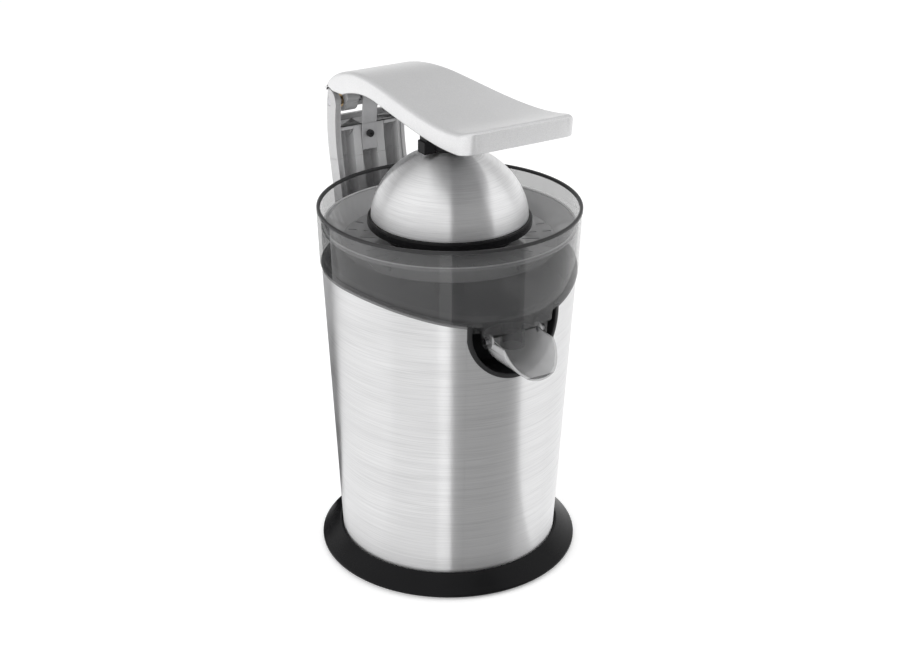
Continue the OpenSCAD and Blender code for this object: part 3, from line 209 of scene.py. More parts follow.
# Points closer than this are one point, and edges shorter than this go
MERGE = 0.003
SLIVER = 0.001


@contextmanager
def opened(mesh):
    """Opens a mesh for changes, its doubles merged, and puts the result back."""
    work = bmesh.new()
    work.from_mesh(mesh)
    bmesh.ops.remove_doubles(work, verts=work.verts, dist=MERGE * MM)
    yield work
    work.to_mesh(mesh)
    work.free()


def close_up(mesh):
    """Merges doubles, drops slivers and turns the faces of a closed shape outwards."""
    with opened(mesh) as work:
        bmesh.ops.dissolve_degenerate(work, edges=work.edges, dist=SLIVER * MM)
        bmesh.ops.recalc_face_normals(work, faces=work.faces)


def shade(mesh, crisp=38):
    """Smooth shading that stays crisp at edges sharper than crisp degrees."""
    mesh.shade_smooth()
    mesh.set_sharp_from_angle(angle=radians(crisp))


def raw_mesh(name, points, faces):
    """A mesh from points in millimetres."""
    mesh = bpy.data.meshes.new(name)
    mesh.from_pydata([Vector(p) * MM for p in points], [], faces)
    return mesh


def add_piece(name, mesh, finish):
    mesh.materials.clear()
    mesh.materials.append(finish)
    piece = bpy.data.objects.new(name, mesh)
    scene.collection.objects.link(piece)
    return piece


def solid(name, points, faces, finish, crisp=38):
    """A closed piece from points in millimetres."""
    mesh = raw_mesh(name, points, faces)
    close_up(mesh)
    shade(mesh, crisp)
    return add_piece(name, mesh, finish)


def turned(name, outline, finish, segments):
    """A piece turned round the axis from a closed outline of (radius, height)."""
    rows = [upright(2 * pi * i / segments, outline) for i in range(segments)]
    return solid(name, *shell(rows), finish)


def block(low, high, turn=0.0):
    """Points and faces of a box between two corners, turned round the axis."""
    corners = [(low[0], low[1]), (high[0], low[1]), (high[0], high[1]), (low[0], high[1])]
    plan = [(x * cos(turn) - y * sin(turn), x * sin(turn) + y * cos(turn)) for x, y in corners]
    return shell([[(x, y, z) for x, y in plan] for z in (low[2], high[2])], looped=False)


def rod(centre, radius, ends, along="z", steps=64):
    """Points and faces of a round bar along x or z; centre is in the plane across it."""
    rows = []
    for at in ends:
        row = []
        for i in range(steps):
            u = centre[0] + radius * cos(2 * pi * i / steps)
            v = centre[1] + radius * sin(2 * pi * i / steps)
            row.append((u, v, at) if along == "z" else (at, u, v))
        rows.append(row)
    return shell(rows, looped=False)


def joined(name, parts, finish):
    """One piece from several separate closed shapes."""
    points, faces = [], []
    for more, sides in parts:
        faces += [tuple(len(points) + i for i in side) for side in sides]
        points += more
    return solid(name, points, faces, finish)


def settle(piece):
    """Turns a piece with its modifiers into a plain mesh."""
    seen = piece.evaluated_get(bpy.context.evaluated_depsgraph_get())
    mesh = bpy.data.meshes.new_from_object(seen)
    piece.modifiers.clear()
    piece.data = mesh


def cut(piece, tool, operation="DIFFERENCE"):
    """Cuts the tool from a piece or adds it, and removes the tool."""
    change = piece.modifiers.new(operation, "BOOLEAN")
    change.operation = operation
    change.object = tool
    change.solver = "EXACT"
    settle(piece)
    bpy.data.objects.remove(tool)


def dressed(node, finish, edge, crisp=32, flat=0.4):
    """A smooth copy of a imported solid, with its edges broken by the width given."""
    mesh = frame["nodes"][node].data.copy()
    with opened(mesh) as work:
        bmesh.ops.dissolve_limit(
            work, angle_limit=radians(flat), verts=work.verts, edges=work.edges, delimit={"NORMAL"}
        )
    shade(mesh, crisp)
    piece = add_piece(node + "_finished", mesh, finish)
    bevel = piece.modifiers.new("broken edges", "BEVEL")
    bevel.width = edge * MM
    bevel.segments = 2
    bevel.limit_method = "ANGLE"
    bevel.angle_limit = radians(crisp)
    bevel.use_clamp_overlap = False
    bevel.harden_normals = True
    settle(piece)
    return piece


def stands_for(piece, slot, *nodes):
    """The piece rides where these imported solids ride, and is seen in their place."""
    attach(piece, frame["nodes"][nodes[0]]["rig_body"])
    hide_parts(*nodes)


# Nodes

class Nodes:
    """A tree of nodes, with short calls for adding and linking them."""

    def __init__(self, tree, prefix):
        self.tree = tree
        self.prefix = prefix

    def put(self, socket, value):
        """Links the socket where value is an output, and otherwise sets it."""
        if isinstance(value, bpy.types.NodeSocket):
            self.tree.links.new(value, socket)
        else:
            socket.default_value = value

    def set(self, node, **named):
        """A capitalised name is a socket, with _ for a space, and any other is a setting of the node."""
        for name, value in named.items():
            if name[0].isupper():
                self.put(node.inputs[name.replace("_", " ")], value)
            else:
                setattr(node, name, value)

    def node(self, kind, *inputs, **named):
        """Adds a node; inputs go to its first sockets."""
        node = self.tree.nodes.new(self.prefix + kind)
        self.set(node, **named)
        for socket, value in zip(node.inputs, inputs):
            self.put(socket, value)
        return node


class Shading(Nodes):
    """The nodes of a material or of the world."""

    def __init__(self, owner, surface="Principled BSDF", **sockets):
        owner.use_nodes = True
        super().__init__(owner.node_tree, "ShaderNode")
        self.owner = owner
        self.surface = self.tree.nodes[surface]
        self.dress(**sockets)

    def dress(self, **sockets):
        """Sets or links sockets of the surface."""
        self.set(self.surface, **sockets)

    def place(self, scale=1.0, turn=(0, 0, 0)):
        """Object coordinates in metres, scaled and turned."""
        if not isinstance(scale, tuple):
            scale = (scale, scale, scale)
        where = self.node("TexCoord").outputs["Object"]
        return self.node("Mapping", where, Scale=scale, Rotation=turn).outputs[0]

    def noise(self, scale, detail=3.0, roughness=0.5, turn=(0, 0, 0)):
        """Noise with so many blotches a metre, the same each way or one number for each axis."""
        where = self.place(scale, turn)
        noise = self.node("TexNoise", Vector=where, Scale=1.0, Detail=detail, Roughness=roughness)
        return noise.outputs["Fac"]

    def between(self, value, low, high, start=0.0, end=1.0):
        """Stretches value from start..end to low..high."""
        return self.node("MapRange", value, start, end, low, high).outputs[0]

    def math(self, operation, a, b):
        return self.node("Math", a, b, operation=operation).outputs[0]

    def tone(self, value, colour, *stops):
        """Colour along a ramp; stops are (place, factor on the colour or another colour)."""
        ramp = self.node("ValToRGB", value)
        band = ramp.color_ramp
        while len(band.elements) < len(stops):
            band.elements.new(0.5)
        for element, (place, change) in zip(band.elements, stops):
            other = change if isinstance(change, tuple) else [min(1.0, c * change) for c in colour]
            element.position = place
            element.color = (*other, 1.0)
        return ramp.outputs[0]

    def relief(self, height, depth, strength):
        """Bump of the height given, depth in millimetres."""
        bump = self.node("Bump", Strength=strength, Distance=depth * MM, Height=height)
        self.dress(Normal=bump.outputs[0])

    def seen_directly(self):
        """1 for camera, glossy and transmitted rays."""
        path = self.node("LightPath").outputs
        seen = self.math("MAXIMUM", path["Is Camera Ray"], path["Is Glossy Ray"])
        return self.math("MAXIMUM", seen, path["Is Transmission Ray"])


class Growth(Nodes):
    """A Geometry Nodes tree with named inputs."""

    def __init__(self, name, **inputs):
        super().__init__(bpy.data.node_groups.new(name, "GeometryNodeTree"), "GeometryNode")
        sockets = self.tree.interface
        sockets.new_socket("Geometry", in_out="OUTPUT", socket_type="NodeSocketGeometry")
        for label, kind in {"Geometry": "Geometry", **inputs}.items():
            sockets.new_socket(label, in_out="INPUT", socket_type="NodeSocket" + kind)
        self.source = self.tree.nodes.new("NodeGroupInput").outputs

    def end(self, geometry, finish):
        """Ends the tree with real geometry and the finish set."""
        real = self.node("RealizeInstances", geometry)
        paint = self.node("SetMaterial", real.outputs[0], Material=finish)
        self.tree.links.new(paint.outputs[0], self.tree.nodes.new("NodeGroupOutput").inputs[0])

    def grow(self, piece, **values):
        """Runs the tree on a piece with its named inputs set, and keeps the result as a plain mesh."""
        modifier = piece.modifiers.new(self.tree.name, "NODES")
        modifier.node_group = self.tree
        for item in self.tree.interface.items_tree:
            if item.in_out == "INPUT" and item.name in values:
                modifier[item.identifier] = values[item.name]
        settle(piece)


# Finishes: colours and roughness as the surface shows them, grain sizes and depths in millimetres

def new_finish(name, **sockets):
    return Shading(bpy.data.materials.new(name), **sockets)


def brushed_steel(name, colour, roughness, streak_mm=40.0, fine_mm=0.22):
    """Steel with its grain running round the z axis: long fine streaks in tone, gloss and relief."""
    f = new_finish(name, Metallic=1.0, Anisotropic=1.0, Anisotropic_Rotation=0.25)
    along = 1000 / streak_mm
    fine = f.noise((along, along, 1000 / fine_mm), 2.0, 0.6)
    coarse = f.noise((along * 0.6, along * 0.6, 300 / fine_mm), 3.0, 0.6)
    broad = f.noise((12, 12, 40), 2.0)
    streaks = f.math("ADD", f.math("MULTIPLY", fine, 0.55), f.math("MULTIPLY", coarse, 0.45))
    gloss = f.between(streaks, roughness * 1.16, roughness * 0.86, 0.3, 0.7)
    f.dress(
        Base_Color=f.tone(streaks, colour, (0.34, 0.88), (0.5, 1.0), (0.66, 1.08)),
        Roughness=f.math("MULTIPLY", gloss, f.between(broad, 0.94, 1.06, 0.3, 0.7)),
        Tangent=f.node("Tangent", direction_type="RADIAL", axis="Z").outputs[0],
    )
    f.relief(streaks, 0.006, 0.6)
    return f.owner


def moulded(name, colour, roughness, grain_mm=0.5, depth=0.012, spread=0.12, shine=0.5):
    """Moulded plastic with a fine spark-eroded grain and faint flow marks."""
    f = new_finish(name, Specular_IOR_Level=shine)
    grain = f.noise(1000 / grain_mm, roughness=0.55)
    flow = f.noise((26, 26, 10.4))
    gloss = f.between(flow, roughness * 0.92, roughness * 1.08, 0.3, 0.7)
    f.dress(
        Base_Color=f.tone(flow, colour, (0.3, 1 - spread), (0.7, 1 + spread)),
        Roughness=f.math("ADD", gloss, f.between(grain, -0.03, 0.03)),
    )
    f.relief(grain, depth, 0.5)
    return f.owner


def smoked(name, colour, cover, roughness):
    """See-through plastic with faint flow lines; each face hides the share cover of what is behind it."""
    f = new_finish(name, IOR=1.49, Specular_IOR_Level=0.9, Coat_Weight=1.0, Coat_Roughness=0.02)
    flow = f.noise((18, 18, 9))
    scratch = f.noise((60, 900, 300), 2.0, turn=(0.4, 0.2, 0.9))
    gloss = f.between(flow, roughness, roughness * 1.4, 0.3, 0.7)
    f.dress(
        Base_Color=f.tone(flow, colour, (0.3, 0.94), (0.7, 1.06)),
        Roughness=f.math("ADD", gloss, f.between(scratch, 0.0, 0.08, 0.62, 0.8)),
        Alpha=f.between(flow, cover * 0.97, cover * 1.03, 0.3, 0.7),
    )
    f.relief(flow, 0.02, 0.25)
    return f.owner


def silver_paint(name, colour, roughness=0.36):
    """Satin paint over plastic: fine metal flakes under a soft clear coat."""
    f = new_finish(name, Metallic=0.55, Coat_Weight=0.35, Coat_Roughness=0.22)
    flakes = f.node("TexVoronoi", feature="F1", Vector=f.place(), Scale=2600)
    sparkle = f.node("SeparateColor", flakes.outputs["Color"]).outputs[0]
    cloud = f.noise(14)
    tone = f.math("ADD", f.math("MULTIPLY", sparkle, 0.5), f.math("MULTIPLY", cloud, 0.5))
    f.dress(
        Base_Color=f.tone(tone, colour, (0.25, 0.94), (0.75, 1.06)),
        Roughness=f.between(sparkle, roughness * 0.92, roughness * 1.1),
    )
    f.relief(f.noise(900, 2.0), 0.008, 0.35)
    return f.owner


def bare_metal(name, colour, roughness, grain_mm=0.8, depth=0.006, metallic=1.0):
    """Plain metal with a fine matt grain and darker handling marks."""
    f = new_finish(name, Metallic=metallic)
    grain = f.noise(1000 / grain_mm, 4.0, 0.6)
    marks = f.noise(60, 4.0, 0.6)
    gloss = f.between(marks, roughness * 1.15, roughness * 0.9, 0.3, 0.7)
    f.dress(
        Base_Color=f.tone(marks, colour, (0.35, 0.86), (0.65, 1.0)),
        Roughness=f.math("ADD", gloss, f.between(grain, -0.04, 0.04)),
    )
    f.relief(grain, depth, 0.5)
    return f.owner


def stacked_steel(name, colour, blued=(0.30, 0.30, 0.36), sheet_mm=0.5):
    """Edges of stacked electrical sheets, blued in places by their tempering."""
    f = new_finish(name, Metallic=0.9)
    sheets = f.node("TexWave", f.place(), wave_type="BANDS", bands_direction="Z", Scale=50 / sheet_mm * pi)
    temper = f.noise(90, 4.0, 0.6)
    f.dress(
        Base_Color=f.tone(temper, colour, (0.3, 0.7), (0.55, 1.0), (0.75, blued)),
        Roughness=f.between(temper, 0.36, 0.55),
    )
    f.relief(sheets.outputs["Fac"], 0.06, 0.7)
    return f.owner


def rubbery(name, colour):
    """Matt rubber with a fine pebble and pale dust in patches."""
    f = new_finish(name, Roughness=0.78, Sheen_Weight=0.15, Sheen_Roughness=0.5)
    f.dress(Base_Color=f.tone(f.noise(40, 4.0, 0.6), colour, (0.4, 1.0), (0.75, 1.7)))
    f.relief(f.noise(1600, roughness=0.6), 0.03, 0.6)
    return f.owner


def enamelled_copper(name, colour):
    """Copper wire under amber enamel."""
    f = new_finish(name, Metallic=0.85, Coat_Weight=0.8, Coat_Roughness=0.12)
    amber = f.noise(120)
    f.dress(
        Base_Color=f.tone(amber, colour, (0.3, 0.75), (0.7, 1.1)),
        Roughness=f.between(amber, 0.2, 0.34),
    )
    f.relief(f.noise(2500, 2.0), 0.01, 0.4)
    return f.owner


steel_skin = brushed_steel("brushed steel, sleeve", (0.88, 0.88, 0.885), 0.37)
steel_dome = brushed_steel("brushed steel, dome", (0.92, 0.92, 0.925), 0.33, 26.0, 0.2)
black_gloss = moulded("satin black plastic", (0.006, 0.006, 0.0066), 0.26, depth=0.006, shine=0.12)
black_matt = moulded("black structural plastic", (0.010, 0.010, 0.011), 0.46, 0.8, 0.005, shine=0.15)
trim_grey = moulded("dark grey trim", (0.024, 0.024, 0.025), 0.34, depth=0.006, shine=0.2)
seam_grey = moulded("grey seam trim", (0.15, 0.15, 0.152), 0.36, depth=0.006, shine=0.3)
liner_grey = moulded("grey column lining", (0.56, 0.56, 0.565), 0.5, 0.7, 0.015)
under_grey = moulded("grey lever underside", (0.42, 0.42, 0.425), 0.5, 0.7, 0.015)
smoked_clear = smoked("smoked clear plastic", (0.065, 0.065, 0.067), 0.36, 0.04)
smoked_thin = smoked("smoked clear plastic, bowl", (0.10, 0.10, 0.102), 0.15, 0.06)
smoked_dense = smoked("denser smoked plastic", (0.46, 0.46, 0.465), 0.72, 0.14)
smoked_edge = moulded("smoked plastic, seen along its lip", (0.03, 0.03, 0.031), 0.3, depth=0.004, shine=0.25)
pale_lip = moulded("strainer plastic, seen along its lip", (0.62, 0.62, 0.625), 0.3, depth=0.004)
frosted = smoked("frosted spout plastic", (0.58, 0.58, 0.585), 0.68, 0.16)
silver = silver_paint("satin silver paint", (0.74, 0.74, 0.745))
silver_column = silver_paint("satin silver paint, column", (0.54, 0.54, 0.545))
strap_steel = bare_metal("satin strap steel", (0.60, 0.60, 0.61), 0.5, 0.6, 0.003, 0.5)
# Blackened steel for the strap screw; its darkness is also painted shade of the screw hole it sits in
hole_shade_black_steel = bare_metal("blackened steel, painted shade of the screw hole", (0.03, 0.03, 0.032), 0.42, 0.6, metallic=0.3)
zinc_steel = bare_metal("zinc-plated steel", (0.62, 0.62, 0.64), 0.28)
cast_alloy = bare_metal("cast alloy", (0.5, 0.5, 0.52), 0.48, 1.2, 0.03)
oiled_bronze = bare_metal("oiled bronze", (0.52, 0.36, 0.17), 0.4, 0.6, 0.01)
gear_cream = moulded("natural gear plastic", (0.62, 0.60, 0.52), 0.42, 0.8, 0.01, 0.05)
foot_rubber = rubbery("foot rubber", (0.03, 0.03, 0.03))
core_steel = stacked_steel("stacked core steel", (0.26, 0.26, 0.28))
winding_copper = enamelled_copper("enamelled copper wire", (0.62, 0.25, 0.09))


# Body

# Steps round a full circle, along the notch, round the back and from foot to seam
ROUND_STEPS = 288
NOTCH_STEPS = 36
SLEEVE_STEPS = 260
SLEEVE_LEVELS = 12
SEAM_STEPS = 300
RING_INNER_R = 74
# The seam's strip reaches this far in behind the sleeve's sheet
STRIP_REACH = 2.35


def sleeve():
    """Rolled steel sheet, its upper edge cut along the seam and round the notch."""
    # One radius does for the whole of the notch's arc
    arc_r = sleeve_r(NOTCH_Z - 10)
    edge = []
    for i in range(NOTCH_STEPS + 1):
        x = NOTCH_R * sin(pi * (i / NOTCH_STEPS - 0.5))
        edge.append((asin(x / arc_r), NOTCH_Z - sqrt(max(0.0, NOTCH_R**2 - x * x))))
    edge += [(turn, seam_at(turn)) for turn in round_the_back(notch_turn, SLEEVE_STEPS)]
    rows = []
    for turn, top in edge:
        heights = [sleeve_low.z + (top - sleeve_low.z) * k / SLEEVE_LEVELS for k in range(SLEEVE_LEVELS + 1)]
        outside = [(sleeve_r(z), z) for z in heights]
        inside = [(sleeve_r(z) - SHEET_T, z) for z in reversed(heights)]
        rows.append(upright(turn, outside + inside))
    piece = solid("steel_sleeve", *shell(rows), steel_skin)
    stands_for(piece, "brushed_steel", "sleeve")


def base_foot_ring():
    """Flared black ring under the sleeve, with a soft shoulder."""
    low_z, top_z = ring_low.z, ring_high.z
    top_r = sleeve_r(top_z)
    outline = rounded([
        (RING_INNER_R, low_z, 0.4),
        (base_r - 0.5, low_z, 0.4),
        (base_r, low_z + 0.6, 0.3),
        (base_r, low_z + 2.1, 0.7),
        (base_r - 3.4, low_z + 4.6, 5),
        (top_r + 2.3, top_z, 0.8),
        (top_r + 1.0, top_z, 0.5),
        (sleeve_r(sleeve_low.z) + 0.9, sleeve_low.z, 0.2),
        (RING_INNER_R, sleeve_low.z, 0.3),
    ], 6)
    piece = turned("base_skirt", outline, black_gloss, ROUND_STEPS)
    stands_for(piece, "black_plastic", "base_ring")


def seam_ring():
    """Trim strip that closes the seam, from one side of the notch round the back to the other."""
    depth = TRIM_PROUD + SHEET_T + STRIP_REACH
    # Depth below the strip's face, and share of its height
    half = [(depth, 0.0), (0.5, 0.0), (0.14, 0.14), (0.0, 0.4)]
    section = half + [(inset, 1 - share) for inset, share in reversed(half)]
    rows = []
    for turn in round_the_back(notch_turn, SEAM_STEPS):
        low, high = seam_at(turn), seam_at(turn, trim_h)
        heights = [(inset, low + (high - low) * share) for inset, share in section]
        rows.append(upright(turn, [(sleeve_r(z) + TRIM_PROUD - inset, z) for inset, z in heights]))
    piece = solid("seam_strip", *shell(rows, looped=False), seam_grey)
    stands_for(piece, "dark_trim", "seam_trim")


def notch_edging():
    """U-shaped strip round the pouring notch."""
    top_z = seam_at(asin(NOTCH_R / sleeve_r(NOTCH_Z)), trim_h)
    # Distance in from the notch's edge, and height above the sleeve's face
    section = [
        (0.15, -0.75), (0.15, 0.1), (0.3, 0.38), (0.6, 0.5),
        (NOTCH_TRIM_W - 0.9, 0.5), (NOTCH_TRIM_W - 0.3, 0.3), (NOTCH_TRIM_W, -0.1), (NOTCH_TRIM_W, -0.75),
    ]
    # Angle from straight down, with the height where the strip's sides are straight
    straight = [(90, top_z), (90, (top_z + NOTCH_Z) / 2)]
    bend = [(angle, None) for angle in range(90, -91, -3)]
    path = straight + bend + [(-90, z) for _, z in reversed(straight)]
    rows = []
    for angle, level in path:
        row = []
        for inset, proud in section:
            r = NOTCH_R - inset
            x = r * sin(radians(angle))
            z = NOTCH_Z - r * cos(radians(angle)) if level is None else level
            row.append((x, -sqrt((sleeve_r(z) + proud) ** 2 - x * x), z))
        rows.append(row)
    piece = solid("notch_strip", *shell(rows, looped=False), trim_grey)
    stands_for(piece, "dark_trim", "notch_trim")


# Press dome

DOME_RISE = 48
DOME_HOLE_R = 10.5
# Above 1 the dome is slimmer than an ellipse
DOME_POWER = 1.06
DOME_STEPS = 72


def dome_curve(edge_r, rise):
    """The dome's side from above its edge up to the hole in its top."""
    points = []
    for a in quarter(DOME_STEPS)[1:]:
        r = edge_r * cos(a) ** DOME_POWER
        if r < DOME_HOLE_R:
            break
        points.append((r, dome_low.z + rise * sin(a) ** DOME_POWER))
    hole_share = (DOME_HOLE_R / edge_r) ** (2 / DOME_POWER)
    return points + [(DOME_HOLE_R, dome_low.z + rise * (1 - hole_share) ** (DOME_POWER / 2))]


def steel_dome_shell():
    """Spun steel dome with a turned lower edge."""
    r, z = dome_high.x, dome_low.z
    lip = [(r - SHEET_T + 0.1, z + 0.1), (r - SHEET_T / 2, z), (r - 0.1, z + 0.1)]
    inside = dome_curve(r - SHEET_T, DOME_RISE - SHEET_T)
    outline = lip + dome_curve(r, DOME_RISE) + list(reversed(inside))
    piece = turned("dome_shell", outline, steel_dome, ROUND_STEPS)
    stands_for(piece, "brushed_steel", "press_dome")


# Lever

ARM_BACK_W = 28.6
ARM_TIP_W = 42
ARM_TIP_Y = -84.3
ARM_MIDDLE_Y = 50
ARM_STRAIGHT_Y = 92
ARM_CORNER_R = 9
ARM_EDGE_R = 3.4
ARM_HEM_R = 1.0
ARM_WALL = 2.4
# Radius of the room that the cover leaves round the hinge
ARM_ROOM_R = 10.5
# Steps across the lever, along a stretch of its side, and in its plan from the middle to the tip
ARM_ACROSS = 14
ARM_CURVE_STEPS = 60
ARM_TIP_STEPS = 46


def bezier(a, b, c, d):
    """Points along a curve from a to d with the handles b and c."""
    points = []
    for i in range(ARM_CURVE_STEPS + 1):
        t = i / ARM_CURVE_STEPS
        weights = ((1 - t) ** 3, 3 * t * (1 - t) ** 2, 3 * t * t * (1 - t), t**3)
        points.append(tuple(sum(w * p[k] for w, p in zip(weights, (a, b, c, d))) for k in (0, 1)))
    return points


# The lever's top and underside from back to tip, as (y, z), each one in two stretches
arm_back = (hinge_y + 6, hinge_z + 9.8)
arm_top = bezier(arm_back, (hinge_y - 1, 326), (85, 334.5), (ARM_MIDDLE_Y, 334))
arm_top += bezier((ARM_MIDDLE_Y, 334), (15, 333.5), (-45, 324), (-84, 335.5))[1:]
arm_low = [arm_back, (hinge_y - 4.5, hinge_z + 9)]
arm_low += bezier((97, 312), (84, 317), (65, 322), (45, 321))
arm_low += bezier((45, 321), (0, 318), (-50, 313.5), (-84.5, 321))[1:]


def on_curve(curve, y):
    """Height and slope angle of a side curve at depth y."""
    for (y1, z1), (y0, z0) in zip(curve, curve[1:]):
        if y0 <= y <= y1 and y1 > y0:
            return z0 + (z1 - z0) * (y - y0) / (y1 - y0), atan2(z1 - z0, y1 - y0)
    return (curve[-1] if y < curve[-1][0] else curve[0])[1], 0.0


def arm_half_width(y):
    share = (ARM_STRAIGHT_Y - y) / (ARM_STRAIGHT_Y - ARM_TIP_Y - ARM_CORNER_R)
    return ARM_BACK_W + (ARM_TIP_W - ARM_BACK_W) * min(1.0, max(0.0, share))


def arm_stations(inset):
    """Half width and depth of the lever's plan from back to tip, drawn in by inset."""
    corner_x, corner_y = ARM_TIP_W - ARM_CORNER_R, ARM_TIP_Y + ARM_CORNER_R
    depths = [y for y, _ in arm_top[:ARM_CURVE_STEPS + 1:2]]
    length = corner_y - ARM_MIDDLE_Y
    depths += [ARM_MIDDLE_Y + length * i / ARM_TIP_STEPS for i in range(1, ARM_TIP_STEPS + 1)]
    stations = [(arm_half_width(y) - inset, y) for y in depths]
    r = ARM_CORNER_R - inset
    return stations + [(corner_x + r * cos(a), corner_y - r * sin(a)) for a in quarter(10)[1:]]


def arm_loop(inset, height):
    """One loop of points round the lever's plan; height(y) gives the depth and the height of each."""
    stations = arm_stations(inset)
    (back_w, back_y), (tip_w, tip_y) = stations[0], stations[-1]
    shares = [2 * i / ARM_ACROSS - 1 for i in range(ARM_ACROSS)]
    loop = [(back_w * share, *height(back_y)) for share in shares]
    loop += [(w, *height(y)) for w, y in stations]
    loop += [(-tip_w * share, *height(tip_y)) for share in shares[1:]]
    return loop + [(-w, *height(y)) for w, y in reversed(stations[1:])]


def arm_fill(points, loop, first):
    """Faces that close a loop whose first point has the index first; new points are added to points."""
    last = len(loop) // 2 - ARM_ACROSS
    grid = {}
    for s in range(last + 1):
        for c in range(ARM_ACROSS + 1):
            if s == 0:
                grid[s, c] = first + c
            elif c == ARM_ACROSS:
                grid[s, c] = first + c + s
            elif s == last:
                grid[s, c] = first + 2 * ARM_ACROSS + last - c
            elif c == 0:
                grid[s, c] = first + len(loop) - s
            else:
                grid[s, c] = len(points)
                share = c / ARM_ACROSS
                points.append([a + (b - a) * share for a, b in zip(loop[-s], loop[ARM_ACROSS + s])])
    return [
        (grid[s, c], grid[s, c + 1], grid[s + 1, c + 1], grid[s + 1, c])
        for s in range(last)
        for c in range(ARM_ACROSS)
    ]


def arm_cover():
    """Hollow cover of the lever with soft upper edges and a thin hem below."""
    def above(drop):
        def height(y):
            z, slope = on_curve(arm_top, y)
            return y + sin(slope) * drop, z - cos(slope) * drop
        return height

    def below(lift):
        def height(y):
            z = on_curve(arm_low, y)[0]
            room = ARM_ROOM_R**2 - (y - hinge_y) ** 2
            if room > 0:
                z = max(z, hinge_z + sqrt(room))
            return y, min(z + lift, on_curve(arm_top, y)[0] - 0.02)
        return height

    def inside(y):
        z, slope = on_curve(arm_top, y)
        return y, max(z - ARM_WALL / max(0.3, cos(slope)), below(0)(y)[1])

    loops = [arm_loop(ARM_WALL, inside), arm_loop(ARM_WALL, below(0))]
    loops += [arm_loop(ARM_HEM_R * (1 - sin(b)), below(ARM_HEM_R * (1 - cos(b)))) for b in quarter(4)]
    loops += [arm_loop(ARM_EDGE_R * (1 - cos(b)), above(ARM_EDGE_R * (1 - sin(b)))) for b in quarter(6)]
    points = [point for loop in loops for point in loop]
    outer = len(points) - len(loops[-1])
    faces = net(loops, looped=False)
    faces += arm_fill(points, loops[0], 0)
    faces += arm_fill(points, loops[-1], outer)
    piece = solid("lever_cover", points, faces, silver, 50)
    stands_for(piece, "silver_paint", "arm_shell")


# Screws and the spring, and copies of one part at many places

HEAD_H = 2.2
RECESS_W = 0.84
RECESS_DEPTH = 1.1
SPRING_TURNS = 4.5
SPRING_R = 4.8


def copies(name, part, places, finish):
    """One mesh with a copy of part at each (point in millimetres, turn angles)."""
    tree = Growth(name, Part="Object")
    info = tree.node("ObjectInfo", Object=tree.source["Part"])
    angles = tree.node("InputNamedAttribute", data_type="FLOAT_VECTOR", Name="angles")
    spread = tree.node(
        "InstanceOnPoints",
        Points=tree.source["Geometry"],
        Instance=info.outputs["Geometry"],
        Rotation=angles.outputs["Attribute"],
    )
    tree.end(spread.outputs[0], finish)
    mesh = raw_mesh(name, [point for point, _ in places], [])
    turns = mesh.attributes.new("angles", "FLOAT_VECTOR", "POINT")
    turns.data.foreach_set("vector", [angle for _, turn in places for angle in turn])
    piece = add_piece(name, mesh, finish)
    tree.grow(piece, Part=part)
    shade(piece.data)
    bpy.data.objects.remove(part)
    return piece


def pan_screw(shank_l, shank_r, head_r):
    """A pan-head screw with a cross recess, its head below z = 0 and its tip up."""
    outline = rounded([
        (0, -HEAD_H, 0),
        (head_r * 0.55, -HEAD_H, 0),
        (head_r * 0.86, -HEAD_H + 0.35, 0.5),
        (head_r, -0.9, 0.5),
        (head_r, 0, 0.15),
        (shank_r, 0, 0.15),
        (shank_r, shank_l - 0.8, 0.2),
        (shank_r * 0.6, shank_l, 0),
        (0, shank_l, 0),
    ], 2)
    screw = turned("screw", outline, zinc_steel, 28)
    arm, half = head_r * 0.62, RECESS_W / 2
    cross = []
    for i in range(4):
        a = pi / 2 * i
        for u, v in ((arm, -half), (arm, half), (half, half)):
            cross.append((u * cos(a) - v * sin(a), u * sin(a) + v * cos(a)))
    mouth = [(x, y, -HEAD_H - 1) for x, y in cross]
    bottom = [(x * 0.6, y * 0.6, -HEAD_H + RECESS_DEPTH) for x, y in cross]
    cut(screw, solid("recess", *shell([mouth, bottom], looped=False), zinc_steel))
    return screw


def separate_solids(node):
    """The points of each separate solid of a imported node, in millimetres."""
    mesh = frame["nodes"][node].data.copy()
    groups, seen = [], set()
    with opened(mesh) as work:
        for vert in work.verts:
            if vert in seen:
                continue
            seen.add(vert)
            group, queue = [], [vert]
            while queue:
                here = queue.pop()
                group.append(here.co / MM)
                others = {edge.other_vert(here) for edge in here.link_edges} - seen
                seen |= others
                queue += others
            groups.append(group)
    bpy.data.meshes.remove(mesh)
    return groups


def upright_screws(name, node):
    """Screws with their heads down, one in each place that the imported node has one."""
    places = []
    for group in separate_solids(node):
        xs, ys, zs = zip(*group)
        x, y = (min(xs) + max(xs)) / 2, (min(ys) + max(ys)) / 2
        places.append(((x, y, min(zs) + HEAD_H), (0, 0, 0)))
        head_r = (max(xs) - min(xs)) / 2
        shank_l = max(zs) - min(zs) - HEAD_H
        shank_r = max(hypot(p.x - x, p.y - y) for p in group if p.z > max(zs) - 0.5)
    piece = copies(name, pan_screw(shank_l, shank_r, head_r), places, zinc_steel)
    stands_for(piece, "screw_steel", node)


